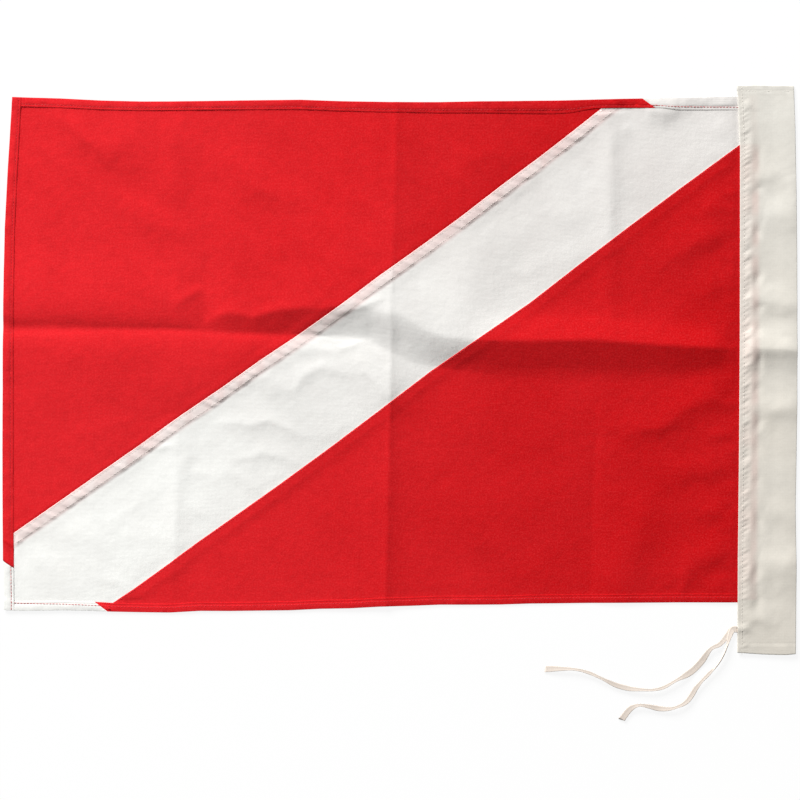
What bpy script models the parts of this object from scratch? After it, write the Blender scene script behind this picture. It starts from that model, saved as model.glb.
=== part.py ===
"""A sewn dive flag, laid flat: two red panels, a white diagonal panel, a pole sleeve and its tie tape.

Metres, +Z up, the flag's front facing up. It is drawn in its seam frame, with X = 0 on the sleeve's
stitched edge and Y = 0 at the fly's lower corner there, and then centred on the whole flag.
Cloth points have two names: (u, v) on the cloth, from the free bottom corner, and (x, y) as laid.
"""

import math

import bmesh
import bpy
from mathutils import Matrix, Vector

# Cloth and clearances
CLOTH = 0.0004
GAP = 0.0003
OVERRUN = 0.004
STEP_RUN = 0.0006
GRID_STEP = 0.0155

# The fly, all three panels together
FLY_LENGTH = 0.558
HOIST = 0.383
HEM_WIDTH = 0.0068
HEM_BUILD = 0.0014
PANEL_END_GAP = 0.0006

# How the laid cloth departs from a true rectangle
TOP_CORNER_SHORT = 0.0065
BOTTOM_CORNER_DROP = 0.0065
TOP_EDGE_DIP = 0.0032
FREE_EDGE_BOW = 0.0036
BOTTOM_EDGE_BOW = 0.0026
BOTTOM_BOW_PEAK_SHARE = 0.28
UPPER_SEAM_BOW = 0.004
SEAM_BOW_REACH = 0.06

# The diagonal stripe and its two lapped seams: where it leaves the free edge and meets the sleeve
STRIPE_START = 0.0524
STRIPE_TOP_DROP = 0.037
STRIPE_WIDTH = 0.086
UPPER_SEAM_BAND = 0.0083
LOWER_SEAM_BAND = 0.0072
SEAM_TONGUE = 0.006
SEAM_BUILD = 0.0008
LAP_RUN = 0.003

# Creases left by folding the flag away, one upright and one level across the fly
UPRIGHT_CREASE_SHARE = 0.527
LEVEL_CREASE_FREE_SHARE = 0.564
LEVEL_CREASE_SEAM_SHARE = 0.512
CREASE_RISE = 0.0022
CREASE_REACH = 0.019
VALLEY_SHOULDER_RISE = 0.0012
CREASE_FADE_LENGTH = 0.045
EDGE_LIFT_LENGTH = 0.025

# The pole sleeve
SLEEVE_WIDTH = 0.0435
SLEEVE_ABOVE_FLY = 0.008
SLEEVE_BELOW_FLY = 0.0396
SLEEVE_WALL = 0.0006
SLEEVE_LOFT = 0.0076
SEAM_LAND_WIDTH = 0.005
SLEEVE_RISE_WIDTH = 0.014
FOLD_TOP_REACH = 0.012
FOLD_BOTTOM_REACH = 0.004
FOLD_HEIGHT_SHARE = 0.38
SLEEVE_TAPER_LENGTH = 0.03
SLEEVE_SEWN_END = 0.0045
SLEEVE_HEM_WIDTH = 0.0082
SLEEVE_HEM_BUILD = 0.0005
SLEEVE_RING_STEP = 0.034
SLEEVE_TAPER_RINGS = 5
FOLD_POINTS = 9
RISE_POINTS = 7

# The fly's edge and the tie's end, sewn between the sleeve's walls
FLY_INSET = 0.015
TAPE_WIDTH = 0.005
TAPE_INSET = 0.009
TAPE_STUB = 0.0015
TIE_BELOW_FLY = 0.0206

# The hinge line, just over the sleeve's stitched edge
HINGE_OUT = 0.0003
HINGE_OVER = 0.0002

# The tie's two tails, in the seam frame, laid on the surface
TAIL_HEIGHT = 0.0026
TAIL_POINT_STEP = 0.0045
TAIL_SIDES_RESOLUTION = 2
UPPER_TAIL_ROUTE = [
    (-0.0022, -0.0206),
    (-0.0054, -0.0207),
    (-0.0092, -0.0254),
    (-0.0146, -0.0316),
    (-0.0217, -0.0353),
    (-0.0284, -0.0448),
    (-0.0362, -0.0526),
    (-0.0470, -0.0586),
    (-0.0575, -0.0644),
    (-0.0660, -0.0662),
    (-0.0750, -0.0660),
    (-0.0840, -0.0651),
    (-0.0936, -0.0625),
    (-0.1038, -0.0577),
    (-0.1139, -0.0532),
    (-0.1241, -0.0507),
    (-0.1350, -0.0502),
    (-0.1470, -0.0505),
]
LOWER_TAIL_ROUTE = [
    (-0.0096, -0.0332),
    (-0.0112, -0.0374),
    (-0.0145, -0.0437),
    (-0.0188, -0.0495),
    (-0.0237, -0.0547),
    (-0.0287, -0.0599),
    (-0.0330, -0.0653),
    (-0.0362, -0.0707),
    (-0.0404, -0.0757),
    (-0.0466, -0.0789),
    (-0.0536, -0.0806),
    (-0.0612, -0.0803),
    (-0.0690, -0.0786),
    (-0.0762, -0.0778),
    (-0.0826, -0.0808),
    (-0.0891, -0.0891),
]

# Colours, sRGB hex
RED_NYLON = "DA2630"
DEEP_RED_NYLON = "CB1E26"
WHITE_NYLON = "EDECE8"
SLEEVE_CANVAS = "E0DCD2"
TAPE_COTTON = "F0E7DD"

# Sizes worked out from those above
SLOT_HEIGHT = CLOTH + 2 * GAP
SLOT_FLOOR = SLEEVE_WALL
LAND_HEIGHT = SLOT_HEIGHT + 2 * SLEEVE_WALL
CLOTH_FLOOR = SLOT_FLOOR + GAP
LAP_RISE = CLOTH + GAP
SLEEVE_TOP = HOIST + SLEEVE_ABOVE_FLY
SLEEVE_BOTTOM = -SLEEVE_BELOW_FLY
TIE_Y = -TIE_BELOW_FLY
SEAM_AT_SLEEVE_V = HOIST - STRIPE_TOP_DROP
STRIPE_CLIMB = SEAM_AT_SLEEVE_V - STRIPE_START
STRIPE_REACH = math.hypot(STRIPE_CLIMB, FLY_LENGTH)
STRIPE_ANGLE = math.atan2(STRIPE_CLIMB, FLY_LENGTH) + math.asin(STRIPE_WIDTH / STRIPE_REACH)
SEAM_NORMAL = Vector((-math.sin(STRIPE_ANGLE), math.cos(STRIPE_ANGLE), 0))
SEAM_SPAN = HOIST / math.sin(STRIPE_ANGLE)
UPRIGHT_CREASE_U = UPRIGHT_CREASE_SHARE * FLY_LENGTH
LEVEL_CREASE_FREE_V = LEVEL_CREASE_FREE_SHARE * HOIST
LEVEL_CREASE_SEAM_V = LEVEL_CREASE_SEAM_SHARE * HOIST
HINGE = Vector((-HINGE_OUT, HOIST / 2, LAND_HEIGHT + HINGE_OVER))


# Scene, materials and placing
def clear_scene():
    for obj in list(bpy.data.objects):
        bpy.data.objects.remove(obj, do_unlink=True)


def new_collection(name):
    collection = bpy.data.collections.new(name)
    bpy.context.scene.collection.children.link(collection)
    return collection


def linear_colour(hex_colour):
    channels = [int(hex_colour[i : i + 2], 16) / 255 for i in (0, 2, 4)]
    return [c / 12.92 if c <= 0.04045 else ((c + 0.055) / 1.055) ** 2.4 for c in channels] + [1]


def cloth_material(name, hex_colour, roughness):
    material = bpy.data.materials.new(name)
    material.use_nodes = True
    shader = material.node_tree.nodes["Principled BSDF"]
    shader.inputs["Base Color"].default_value = linear_colour(hex_colour)
    shader.inputs["Roughness"].default_value = roughness
    shader.inputs["Metallic"].default_value = 0
    return material


def new_object(name, mesh, collection, material=None):
    obj = bpy.data.objects.new(name, mesh)
    collection.objects.link(obj)
    if material:
        mesh.materials.append(material)
    return obj


def hang_on(obj, empty):
    """Parents obj to the empty and moves its geometry so that it stays where it was drawn."""
    obj.data.transform(Matrix.Translation(-empty.matrix_world.translation))
    obj.parent = empty


# The laid cloth
def smooth_share(value):
    share = min(max(value, 0), 1)
    return share * share * (3 - 2 * share)


def arch(share):
    return math.sin(math.pi * min(max(share, 0), 1))


def from_upper_seam(u, v):
    """Distance from the upper seam's line, positive on the upper red panel's side."""
    return (Vector((u, v, 0)) - Vector((0, STRIPE_START, 0))).dot(SEAM_NORMAL)


def from_lower_seam(u, v):
    """Distance from the lower seam's line, positive on the white panel's side."""
    return from_upper_seam(u, v) + STRIPE_WIDTH


def laid_place(u, v):
    """Where a point of the cloth lies: the rectangle, its drawn corners and its bowed edges and seam."""
    s, t = u / FLY_LENGTH, v / HOIST
    free, low = 1 - s, 1 - t
    lopsided = arch(s ** (math.log(0.5) / math.log(BOTTOM_BOW_PEAK_SHARE)) if s > 0 else 0)
    x = -FLY_LENGTH * free + free * t * TOP_CORNER_SHORT - free * FREE_EDGE_BOW * arch(t)
    y = v - free * low * BOTTOM_CORNER_DROP - t * TOP_EDGE_DIP * arch(s) - low * BOTTOM_EDGE_BOW * lopsided
    along = (u * math.cos(STRIPE_ANGLE) + (v - STRIPE_START) * math.sin(STRIPE_ANGLE)) / SEAM_SPAN
    bow = UPPER_SEAM_BOW * arch(along) * math.exp(-((from_upper_seam(u, v) / SEAM_BOW_REACH) ** 2))
    bow *= arch(t) * arch(s)
    return x - bow * SEAM_NORMAL.x, y - bow * SEAM_NORMAL.y


def laid_height(u, v):
    """Height of the cloth's underside over the surface: the creases, and the lift into the sleeve."""
    rest_of_way = FLY_LENGTH - u
    ridge = math.exp(-abs(u - UPRIGHT_CREASE_U) / CREASE_REACH)
    slope = (LEVEL_CREASE_SEAM_V - LEVEL_CREASE_FREE_V) / FLY_LENGTH
    off = abs(v - LEVEL_CREASE_FREE_V - slope * u) / CREASE_REACH
    past_upright = (u - UPRIGHT_CREASE_U) / CREASE_REACH
    on_sleeve_side, on_free_side = smooth_share(past_upright), 1 - smooth_share(past_upright + 1)
    valley = VALLEY_SHOULDER_RISE * off * math.exp(1 - off) * on_free_side
    level = CREASE_RISE * math.exp(-off) * on_sleeve_side
    creases = CREASE_RISE * ridge * (1 - on_sleeve_side * math.exp(-off)) + level + valley
    fade = smooth_share(rest_of_way / CREASE_FADE_LENGTH)
    return creases * fade + CLOTH_FLOOR * (1 - smooth_share(rest_of_way / EDGE_LIFT_LENGTH))


def lap_height(distance, band):
    """Rise of the upper panel over the tongue of the lower one, at a distance inside its lapped edge."""
    return LAP_RISE * (1 - smooth_share((distance - band) / LAP_RUN))


def flat_cloth():
    """A mesh grid over the whole fly, flat, in (u, v)."""
    sheet = bmesh.new()
    columns, rows = round(FLY_LENGTH / GRID_STEP), round(HOIST / GRID_STEP)
    scale = Matrix.Diagonal((FLY_LENGTH, HOIST, 1, 1))
    middle = Matrix.Translation((FLY_LENGTH / 2, HOIST / 2, 0))
    bmesh.ops.create_grid(sheet, x_segments=columns, y_segments=rows, size=0.5, matrix=middle @ scale)
    return sheet


def score(sheet, point, normal, drop_beyond=False, drop_before=False):
    """Cuts the sheet's mesh along a line, and drops what lies beyond it or before it."""
    bmesh.ops.bisect_plane(
        sheet,
        geom=sheet.verts[:] + sheet.edges[:] + sheet.faces[:],
        plane_co=point,
        plane_no=normal,
        clear_outer=drop_beyond,
        clear_inner=drop_before,
    )


def seam_point(distance):
    """A point of the line that runs this far from the upper seam."""
    return Vector((0, STRIPE_START, 0)) + distance * SEAM_NORMAL


def score_creases(sheet):
    slope = Vector((LEVEL_CREASE_FREE_V - LEVEL_CREASE_SEAM_V, FLY_LENGTH, 0))
    score(sheet, Vector((UPRIGHT_CREASE_U, 0, 0)), Vector((1, 0, 0)))
    score(sheet, Vector((0, LEVEL_CREASE_FREE_V, 0)), slope)


def score_hems(sheet, edges):
    lines = {
        "free": (Vector((1, 0, 0)), lambda inset: Vector((inset, 0, 0))),
        "top": (Vector((0, 1, 0)), lambda inset: Vector((0, HOIST - inset, 0))),
        "bottom": (Vector((0, 1, 0)), lambda inset: Vector((0, inset, 0))),
    }
    for edge in edges:
        normal, place = lines[edge]
        for inset in (HEM_WIDTH, HEM_WIDTH + STEP_RUN):
            score(sheet, place(inset), normal)


def in_hem(u, v):
    reach = HEM_WIDTH + STEP_RUN / 2
    return u < reach or v < reach or v > HOIST - reach


def cloth_panel(name, sheet, height, build, collection, material):
    """Lays the cut sheet out at its height and gives it its thickness, which build(u, v) sets."""
    bmesh.ops.remove_doubles(sheet, verts=sheet.verts[:], dist=STEP_RUN / 10)
    bmesh.ops.triangulate(sheet, faces=sheet.faces[:])
    sheet.verts.ensure_lookup_table()
    shares = []
    for vert in sheet.verts:
        u, v = vert.co.x, vert.co.y
        shares.append((build(u, v) - CLOTH) / (HEM_BUILD - CLOTH))
        x, y = laid_place(u, v)
        vert.co = (x, y, laid_height(u, v) + height(u, v))
    mesh = bpy.data.meshes.new(name)
    sheet.to_mesh(mesh)
    sheet.free()
    panel = new_object(name, mesh, collection, material)
    group = panel.vertex_groups.new(name="build")
    for index, share in enumerate(shares):
        group.add([index], share, "REPLACE")
    solid = panel.modifiers.new("Cloth thickness", "SOLIDIFY")
    solid.thickness = HEM_BUILD
    solid.offset = 1
    solid.vertex_group = group.name
    solid.thickness_vertex_group = CLOTH / HEM_BUILD
    return panel


def upper_red_panel(collection, material):
    """The upper triangle: its tongue runs under the white panel's lapped edge."""
    sheet = flat_cloth()
    score(sheet, seam_point(-SEAM_TONGUE), SEAM_NORMAL, drop_before=True)
    for distance in (GAP, GAP + STEP_RUN):
        score(sheet, seam_point(distance), SEAM_NORMAL)
    score_hems(sheet, ("free", "top"))
    score_creases(sheet)

    def build(u, v):
        visible = from_upper_seam(u, v) > GAP + STEP_RUN / 2
        return HEM_BUILD if visible and in_hem(u, v) else CLOTH

    return cloth_panel("upper_red_panel", sheet, lambda u, v: 0, build, collection, material)


def white_diagonal_panel(collection, material):
    """The stripe: lapped over the upper red panel, with a tongue under the lower one."""
    sheet = flat_cloth()
    score(sheet, seam_point(0), SEAM_NORMAL, drop_beyond=True)
    score(sheet, seam_point(-STRIPE_WIDTH - SEAM_TONGUE), SEAM_NORMAL, drop_before=True)
    score(sheet, Vector((FLY_LENGTH - PANEL_END_GAP, 0, 0)), Vector((1, 0, 0)), drop_beyond=True)
    inner_edge = (UPPER_SEAM_BAND, UPPER_SEAM_BAND + STEP_RUN, UPPER_SEAM_BAND + LAP_RUN)
    for distance in inner_edge + (STRIPE_WIDTH - GAP - STEP_RUN, STRIPE_WIDTH - GAP):
        score(sheet, seam_point(-distance), SEAM_NORMAL)
    score_hems(sheet, ("free", "top", "bottom"))
    score_creases(sheet)

    def height(u, v):
        return lap_height(-from_upper_seam(u, v), UPPER_SEAM_BAND)

    def build(u, v):
        if in_hem(u, v) and from_lower_seam(u, v) > GAP + STEP_RUN / 2:
            return HEM_BUILD
        return SEAM_BUILD if -from_upper_seam(u, v) < UPPER_SEAM_BAND + STEP_RUN / 2 else CLOTH

    return cloth_panel("white_diagonal_panel", sheet, height, build, collection, material)


def lower_red_panel(collection, material):
    """The lower panel: lapped over the white one."""
    sheet = flat_cloth()
    score(sheet, seam_point(-STRIPE_WIDTH), SEAM_NORMAL, drop_beyond=True)
    score(sheet, Vector((FLY_LENGTH - PANEL_END_GAP, 0, 0)), Vector((1, 0, 0)), drop_beyond=True)
    for distance in (LOWER_SEAM_BAND, LOWER_SEAM_BAND + STEP_RUN, LOWER_SEAM_BAND + LAP_RUN):
        score(sheet, seam_point(-STRIPE_WIDTH - distance), SEAM_NORMAL)
    score_hems(sheet, ("bottom",))
    score_creases(sheet)

    def height(u, v):
        return lap_height(-from_lower_seam(u, v), LOWER_SEAM_BAND)

    def build(u, v):
        if in_hem(u, v):
            return HEM_BUILD
        return SEAM_BUILD if -from_lower_seam(u, v) < LOWER_SEAM_BAND + STEP_RUN / 2 else CLOTH

    return cloth_panel("lower_red_panel", sheet, height, build, collection, material)


# Boxes and lofts
def box_mesh(name, low, high):
    solid = bmesh.new()
    size = Matrix.Diagonal((high[0] - low[0], high[1] - low[1], high[2] - low[2], 1))
    middle = Matrix.Translation([(a + b) / 2 for a, b in zip(low, high)])
    bmesh.ops.create_cube(solid, size=1, matrix=middle @ size)
    mesh = bpy.data.meshes.new(name)
    solid.to_mesh(mesh)
    solid.free()
    return mesh


def loft_mesh(name, rings):
    """A closed skin over rings of equal count, with a flat cap on the first and the last."""
    skin = bmesh.new()
    rows = [[skin.verts.new(point) for point in ring] for ring in rings]
    for row, after in zip(rows, rows[1:]):
        for i in range(len(row)):
            j = (i + 1) % len(row)
            skin.faces.new((row[i], row[j], after[j], after[i]))
    skin.faces.new(rows[0])
    skin.faces.new(rows[-1])
    bmesh.ops.recalc_face_normals(skin, faces=skin.faces[:])
    mesh = bpy.data.meshes.new(name)
    skin.to_mesh(mesh)
    skin.free()
    return mesh


# The pole sleeve
def sleeve_crown(y):
    """Height of the sleeve's outside over the surface: full along it, and down to the seam at its top end."""
    return LAND_HEIGHT + (SLEEVE_LOFT - LAND_HEIGHT) * smooth_share((SLEEVE_TOP - y) / SLEEVE_TAPER_LENGTH)


def sleeve_ring(y, left, inset, grow=0):
    """One section of the sleeve, set in by inset: along its back, round its fold and over its front."""
    crown = sleeve_crown(y)
    fold_height = FOLD_HEIGHT_SHARE * crown
    right = SLEEVE_WIDTH - inset + grow
    ring = [(left, inset)]
    for i in range(FOLD_POINTS):
        angle = math.pi * (i / (FOLD_POINTS - 1) - 0.5)
        over = angle > 0
        reach = FOLD_TOP_REACH if over else FOLD_BOTTOM_REACH
        half = crown - inset + grow - fold_height if over else fold_height - inset
        ring.append((right - reach * (1 - math.cos(angle)), fold_height + half * math.sin(angle)))
    for i in range(RISE_POINTS):
        share = 1 - i / (RISE_POINTS - 1)
        height = LAND_HEIGHT + (crown - LAND_HEIGHT) * smooth_share(share)
        ring.append((SEAM_LAND_WIDTH + share * SLEEVE_RISE_WIDTH, height - inset + grow))
    if left < SEAM_LAND_WIDTH:
        ring.append((left, LAND_HEIGHT - inset + grow))
    return [(x, y, z) for x, z in ring]


def sleeve_stations(start, end):
    """Where the sleeve's sections lie between its start and its taper, and along the taper."""
    straight_end = SLEEVE_TOP - SLEEVE_TAPER_LENGTH
    count = round((straight_end - start) / SLEEVE_RING_STEP)
    straight = [start + (straight_end - start) * i / count for i in range(count)]
    taper_step = (end - straight_end) / SLEEVE_TAPER_RINGS
    return straight + [straight_end + taper_step * i for i in range(SLEEVE_TAPER_RINGS + 1)]


def cut_from(target, mesh, cutters):
    cutter = new_object(mesh.name, mesh, cutters)
    cutter.hide_render = True
    cutter.display_type = "WIRE"
    cutter.parent = target
    cut = target.modifiers.new(mesh.name, "BOOLEAN")
    cut.operation = "DIFFERENCE"
    cut.object = cutter


def pole_sleeve(collection, cutters, material):
    """A strip folded at the right, hollow for the pole, open at the bottom, slotted for what it holds."""
    hem_line = SLEEVE_BOTTOM + SLEEVE_HEM_WIDTH
    rings = [sleeve_ring(y, 0, 0, SLEEVE_HEM_BUILD) for y in (SLEEVE_BOTTOM, hem_line)]
    rings += [sleeve_ring(y, 0, 0) for y in sleeve_stations(hem_line + STEP_RUN, SLEEVE_TOP)]
    sleeve = new_object("pole_sleeve", loft_mesh("pole_sleeve", rings), collection, material)
    void_start, void_end = SLEEVE_BOTTOM - OVERRUN, SLEEVE_TOP - SLEEVE_SEWN_END
    void = [sleeve_ring(y, SEAM_LAND_WIDTH, SLEEVE_WALL) for y in sleeve_stations(void_start, void_end)]
    cut_from(sleeve, loft_mesh("pole_space", void), cutters)
    slots = {
        "fly_slot": (-GAP, HOIST + GAP),
        "tie_slot": (TIE_Y - TAPE_WIDTH / 2 - GAP, TIE_Y + TAPE_WIDTH / 2 + GAP),
    }
    for name, (low_y, high_y) in slots.items():
        low = (-OVERRUN, low_y, SLOT_FLOOR)
        high = (SEAM_LAND_WIDTH + OVERRUN, high_y, SLOT_FLOOR + SLOT_HEIGHT)
        cut_from(sleeve, box_mesh(name, low, high), cutters)
    return sleeve


def sewn_in_pieces(collection, white, red, tape):
    """The fly's edge, white over red, and the tie's doubled end, between the sleeve's walls."""
    floor, top = CLOTH_FLOOR, CLOTH_FLOOR + CLOTH
    pieces = {
        "white_sewn_edge": (-GAP, FLY_INSET, SEAM_AT_SLEEVE_V + GAP / 2, HOIST, white),
        "red_sewn_edge": (-GAP, FLY_INSET, 0, SEAM_AT_SLEEVE_V - GAP / 2, red),
        "tie_sewn_end": (-TAPE_STUB, TAPE_INSET, TIE_Y - TAPE_WIDTH / 2, TIE_Y + TAPE_WIDTH / 2, tape),
    }
    made = []
    for name, (left, right, low, high, material) in pieces.items():
        mesh = box_mesh(name, (left, low, floor), (right, high, top))
        made.append(new_object(name, mesh, collection, material))
    return made


# The tie's tails
def smooth_route(route):
    """Points at an even step on a smooth curve through the route's own points."""
    points = [Vector((x, y, TAIL_HEIGHT)) for x, y in route]
    points = [2 * points[0] - points[1]] + points + [2 * points[-1] - points[-2]]
    fine_steps = 12
    fine = []
    for a, b, c, d in zip(points, points[1:], points[2:], points[3:]):
        for i in range(fine_steps):
            t = i / fine_steps
            bend, twist = 2 * a - 5 * b + 4 * c - d, 3 * b - a - 3 * c + d
            fine.append(0.5 * (2 * b + (c - a) * t + bend * t**2 + twist * t**3))
    fine.append(points[-2])
    total = sum((b - a).length for a, b in zip(fine, fine[1:]))
    count = max(2, round(total / TAIL_POINT_STEP))
    even, travelled, wanted = [fine[0]], 0, total / count
    for a, b in zip(fine, fine[1:]):
        span = (b - a).length
        while wanted <= travelled + span and len(even) < count:
            even.append(a.lerp(b, (wanted - travelled) / span))
            wanted += total / count
        travelled += span
    return even + [fine[-1]]


def tie_tail(name, route, collection, material):
    """One free tail of the tape, as a round tube of the tape's width along its route."""
    points = smooth_route(route)
    curve = bpy.data.curves.new(name, "CURVE")
    curve.dimensions = "3D"
    curve.bevel_depth = TAPE_WIDTH / 2
    curve.bevel_resolution = TAIL_SIDES_RESOLUTION
    curve.use_fill_caps = True
    spline = curve.splines.new("POLY")
    spline.points.add(len(points) - 1)
    for point, place in zip(spline.points, points):
        point.co = (*place, 1)
    return new_object(name, curve, collection, material)


# Assembly
def box_of(objects):
    """Lowest and highest corner of these objects, modifiers included."""
    bpy.context.view_layer.update()
    graph = bpy.context.evaluated_depsgraph_get()
    corners = []
    for obj in objects:
        mesh = obj.evaluated_get(graph).to_mesh()
        corners += [obj.matrix_world @ vert.co for vert in mesh.vertices]
        obj.evaluated_get(graph).to_mesh_clear()
    low = Vector([min(corner[i] for corner in corners) for i in range(3)])
    high = Vector([max(corner[i] for corner in corners) for i in range(3)])
    return low, high


def new_empty(name, place, collection):
    empty = bpy.data.objects.new(name, None)
    empty.location = place
    collection.objects.link(empty)
    bpy.context.view_layer.update()
    return empty


def main():
    clear_scene()
    flag = new_collection("dive_flag")
    cutters = new_collection("cutters")
    red = cloth_material("upper red nylon", RED_NYLON, 0.6)
    deep_red = cloth_material("lower red nylon", DEEP_RED_NYLON, 0.6)
    white = cloth_material("white nylon", WHITE_NYLON, 0.65)
    canvas = cloth_material("sleeve canvas", SLEEVE_CANVAS, 0.8)
    cotton = cloth_material("tape cotton", TAPE_COTTON, 0.85)

    panels = [
        upper_red_panel(flag, red),
        white_diagonal_panel(flag, white),
        lower_red_panel(flag, deep_red),
    ]
    held = [pole_sleeve(flag, cutters, canvas)] + sewn_in_pieces(flag, white, deep_red, cotton)
    tails = [
        tie_tail("tie_tail_upper", UPPER_TAIL_ROUTE, flag, cotton),
        tie_tail("tie_tail_lower", LOWER_TAIL_ROUTE, flag, cotton),
    ]

    low, high = box_of(panels + held)
    middle = (low + high) / 2
    root = new_empty("flag_root", Vector((0, 0, 0)), flag)
    hinge = new_empty("fly_hinge", HINGE, flag)
    for obj in held + tails:
        hang_on(obj, root)
    for obj in panels:
        hang_on(obj, hinge)
    hinge.parent = root
    root.location = (-middle.x, -middle.y, 0)
    bpy.context.view_layer.update()


main()
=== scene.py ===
import math

import bmesh
import bpy
import numpy as np
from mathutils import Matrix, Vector


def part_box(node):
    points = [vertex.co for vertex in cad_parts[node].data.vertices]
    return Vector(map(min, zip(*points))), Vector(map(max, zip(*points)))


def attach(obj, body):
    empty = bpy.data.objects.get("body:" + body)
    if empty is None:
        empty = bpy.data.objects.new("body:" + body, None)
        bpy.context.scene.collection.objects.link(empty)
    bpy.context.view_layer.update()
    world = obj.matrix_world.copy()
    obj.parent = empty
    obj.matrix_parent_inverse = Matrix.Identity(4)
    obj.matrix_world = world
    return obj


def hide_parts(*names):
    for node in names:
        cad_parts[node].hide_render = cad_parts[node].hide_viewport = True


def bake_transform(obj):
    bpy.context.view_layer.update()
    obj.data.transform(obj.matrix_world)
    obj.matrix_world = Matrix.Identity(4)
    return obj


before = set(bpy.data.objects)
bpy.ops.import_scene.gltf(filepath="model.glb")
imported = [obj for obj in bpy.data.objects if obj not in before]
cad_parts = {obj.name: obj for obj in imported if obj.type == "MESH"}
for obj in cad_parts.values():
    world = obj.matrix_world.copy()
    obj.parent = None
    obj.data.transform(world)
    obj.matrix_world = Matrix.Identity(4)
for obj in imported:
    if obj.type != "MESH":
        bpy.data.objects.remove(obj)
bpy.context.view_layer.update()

bl_info = {
    "name": "Diver-Down Flag",
    "version": (1, 0, 0),
    "blender": (4, 5, 0),
    "location": "View3D > Sidebar > Dive Flag",
    "description": "Dresses a sewn diver-down flag, laid flat: cloth, seams, pole sleeve, tie and stitches",
    "category": "Mesh",
}

MM = 0.001

# Places in the frame that the cloth is laid out from: the sleeve's stitched edge and the fly's bottom corner
# there, and where the cloth begins and ends to bend over that edge, on the joint's line
SLEEVE_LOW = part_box("pole_sleeve")[0]
SLEEVE_BELOW_FLY = 0.0396
SEAM_X = SLEEVE_LOW[0]
FLY_BOTTOM_Y = SLEEVE_LOW[1] + SLEEVE_BELOW_FLY

# Outline of the laid cloth, in metres, the same as the CAD panels have
TOP_CORNER_SHORT = 0.0065
BOTTOM_CORNER_DROP = 0.0065
TOP_EDGE_DIP = 0.0032
FREE_EDGE_BOW = 0.0036
BOTTOM_EDGE_BOW = 0.0026
BOTTOM_BOW_PEAK_SHARE = 0.28
UPPER_SEAM_BOW = 0.004
SEAM_BOW_REACH = 0.06

# Layers of the fly: how far it lies off the surface, and the fold of its hems, its steps and their puff
CLOTH_CLEARANCE = 0.0003
HEM_FOLD_RADIUS = 0.00013
FOLD_STEPS = 8
HEM_PUFF = 0.00014
# How a hem puffs up across its width and is held down at its row of stitches, in shares of the puff
HEM_ROLL = ((0.15, 0.6), (0.35, 1.0), (0.55, 0.8), (0.7, -0.5), (0.78, -0.9), (0.86, -0.3), (1.0, -0.1))
# Edges turned under, the rise of the lower red panel over the white tongue, and the share that is left of the
# layers' height where they are pressed beside the sleeve
TURN_RADIUS = 0.000065
TURN_WIDTH = 0.0045
LAP_RISE = 0.0003
PRESSED_SHARE = 0.45
# How deep the fly is sewn into the sleeve, how far out its mesh is fine for the bend, how much it is raised
# there, and how far the white hem's end runs on under the lower red one
FLY_INSET = 0.015
BEND_REACH = 0.0145
SEWN_LIFT = 0.0004
HEM_SLIP = 0.0029
# Widths of the red and the white tongue under the next panel and of the cloth turned under at a seam, the run
# that smooths a seam's step, and the height of the cloth's face
RED_TONGUE = 0.0125
WHITE_TONGUE = 0.0085
TURNED_UNDER = 0.0066
SEAM_STEP = 0.0006
CLOTH_FACE = 0.001

# Stitches: how far apart the points of a row are, how much of its pitch a stitch shows, how high the thread
# lies where a hem's row crosses white cloth, and how deep it sinks into the sleeve's two end rows
ROW_STEP = 0.0008
STITCH_SHARE = 0.86
SEEN_LIFT = 0.00009
END_ROW_SINK = 0.00018
# The rows along the upper seam, from its fold and from its band's other edge, along the lower seam from its
# fold, and down the sleeve from its edge, the last in mm
UPPER_ROW = 0.0016
UPPER_ROW_FROM_EDGE = 0.0012
LOWER_ROW = 0.0009
SLEEVE_ROW_MM = 3.1

# Spacing of the meshes where it is no setting: the fly beside the bend and inside the sleeve, the sleeve and
# its two ends with how long these are, and the tape, and how close points of a cut sheet are merged
BEND_STEP = 0.0007
INSET_STEP = 0.0015
SLEEVE_STEP = 0.0009
SLEEVE_END_STEP = 0.0007
SLEEVE_END_LENGTH = 0.012
TAPE_STEP = 0.0011
MERGED = 0.00003

# The sleeve: height of its front wall where it is sewn flat, how far it passes the fly's top, how deep its
# bottom hem and its top row lie, how far its turned-in canvas lies below a wall, height of its back wall,
# reach of its fold, and how many columns its front wall has
SLEEVE_FLAT = 0.00175
SLEEVE_BEYOND = 0.0088
SLEEVE_HEM = 0.0083
SLEEVE_TOP_ROW = 0.0045
SLEEVE_TURN = 0.00042
SLEEVE_BACK = 0.00042
SLEEVE_FOLD_REACH = 0.00025
SLEEVE_COLUMNS = 38

# How the hem's width, and the row of stitches in it, change along each side: place along the side in
# metres from the free bottom corner, times the set width, and the share of the width where the row runs
TOP_HEM = [(0.0, 1.0, 0.72), (0.15, 0.95, 0.72), (0.30, 1.12, 0.72), (0.415, 1.34, 0.72),
           (0.430, 1.28, 0.72), (0.447, 0.92, 0.75), (0.470, 0.96, 0.78), (0.497, 1.05, 0.78),
           (0.512, 1.32, 0.74), (0.558, 1.46, 0.82)]
FREE_HEM = [(0.0, 1.16, 0.74), (0.129, 1.18, 0.74), (0.314, 1.06, 0.74), (0.383, 1.0, 0.74)]
BOTTOM_HEM = [(0.0, 0.98, 0.88), (0.05, 0.96, 0.66), (0.10, 0.94, 0.55), (0.30, 0.94, 0.6),
              (0.558, 0.94, 0.6)]
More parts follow.
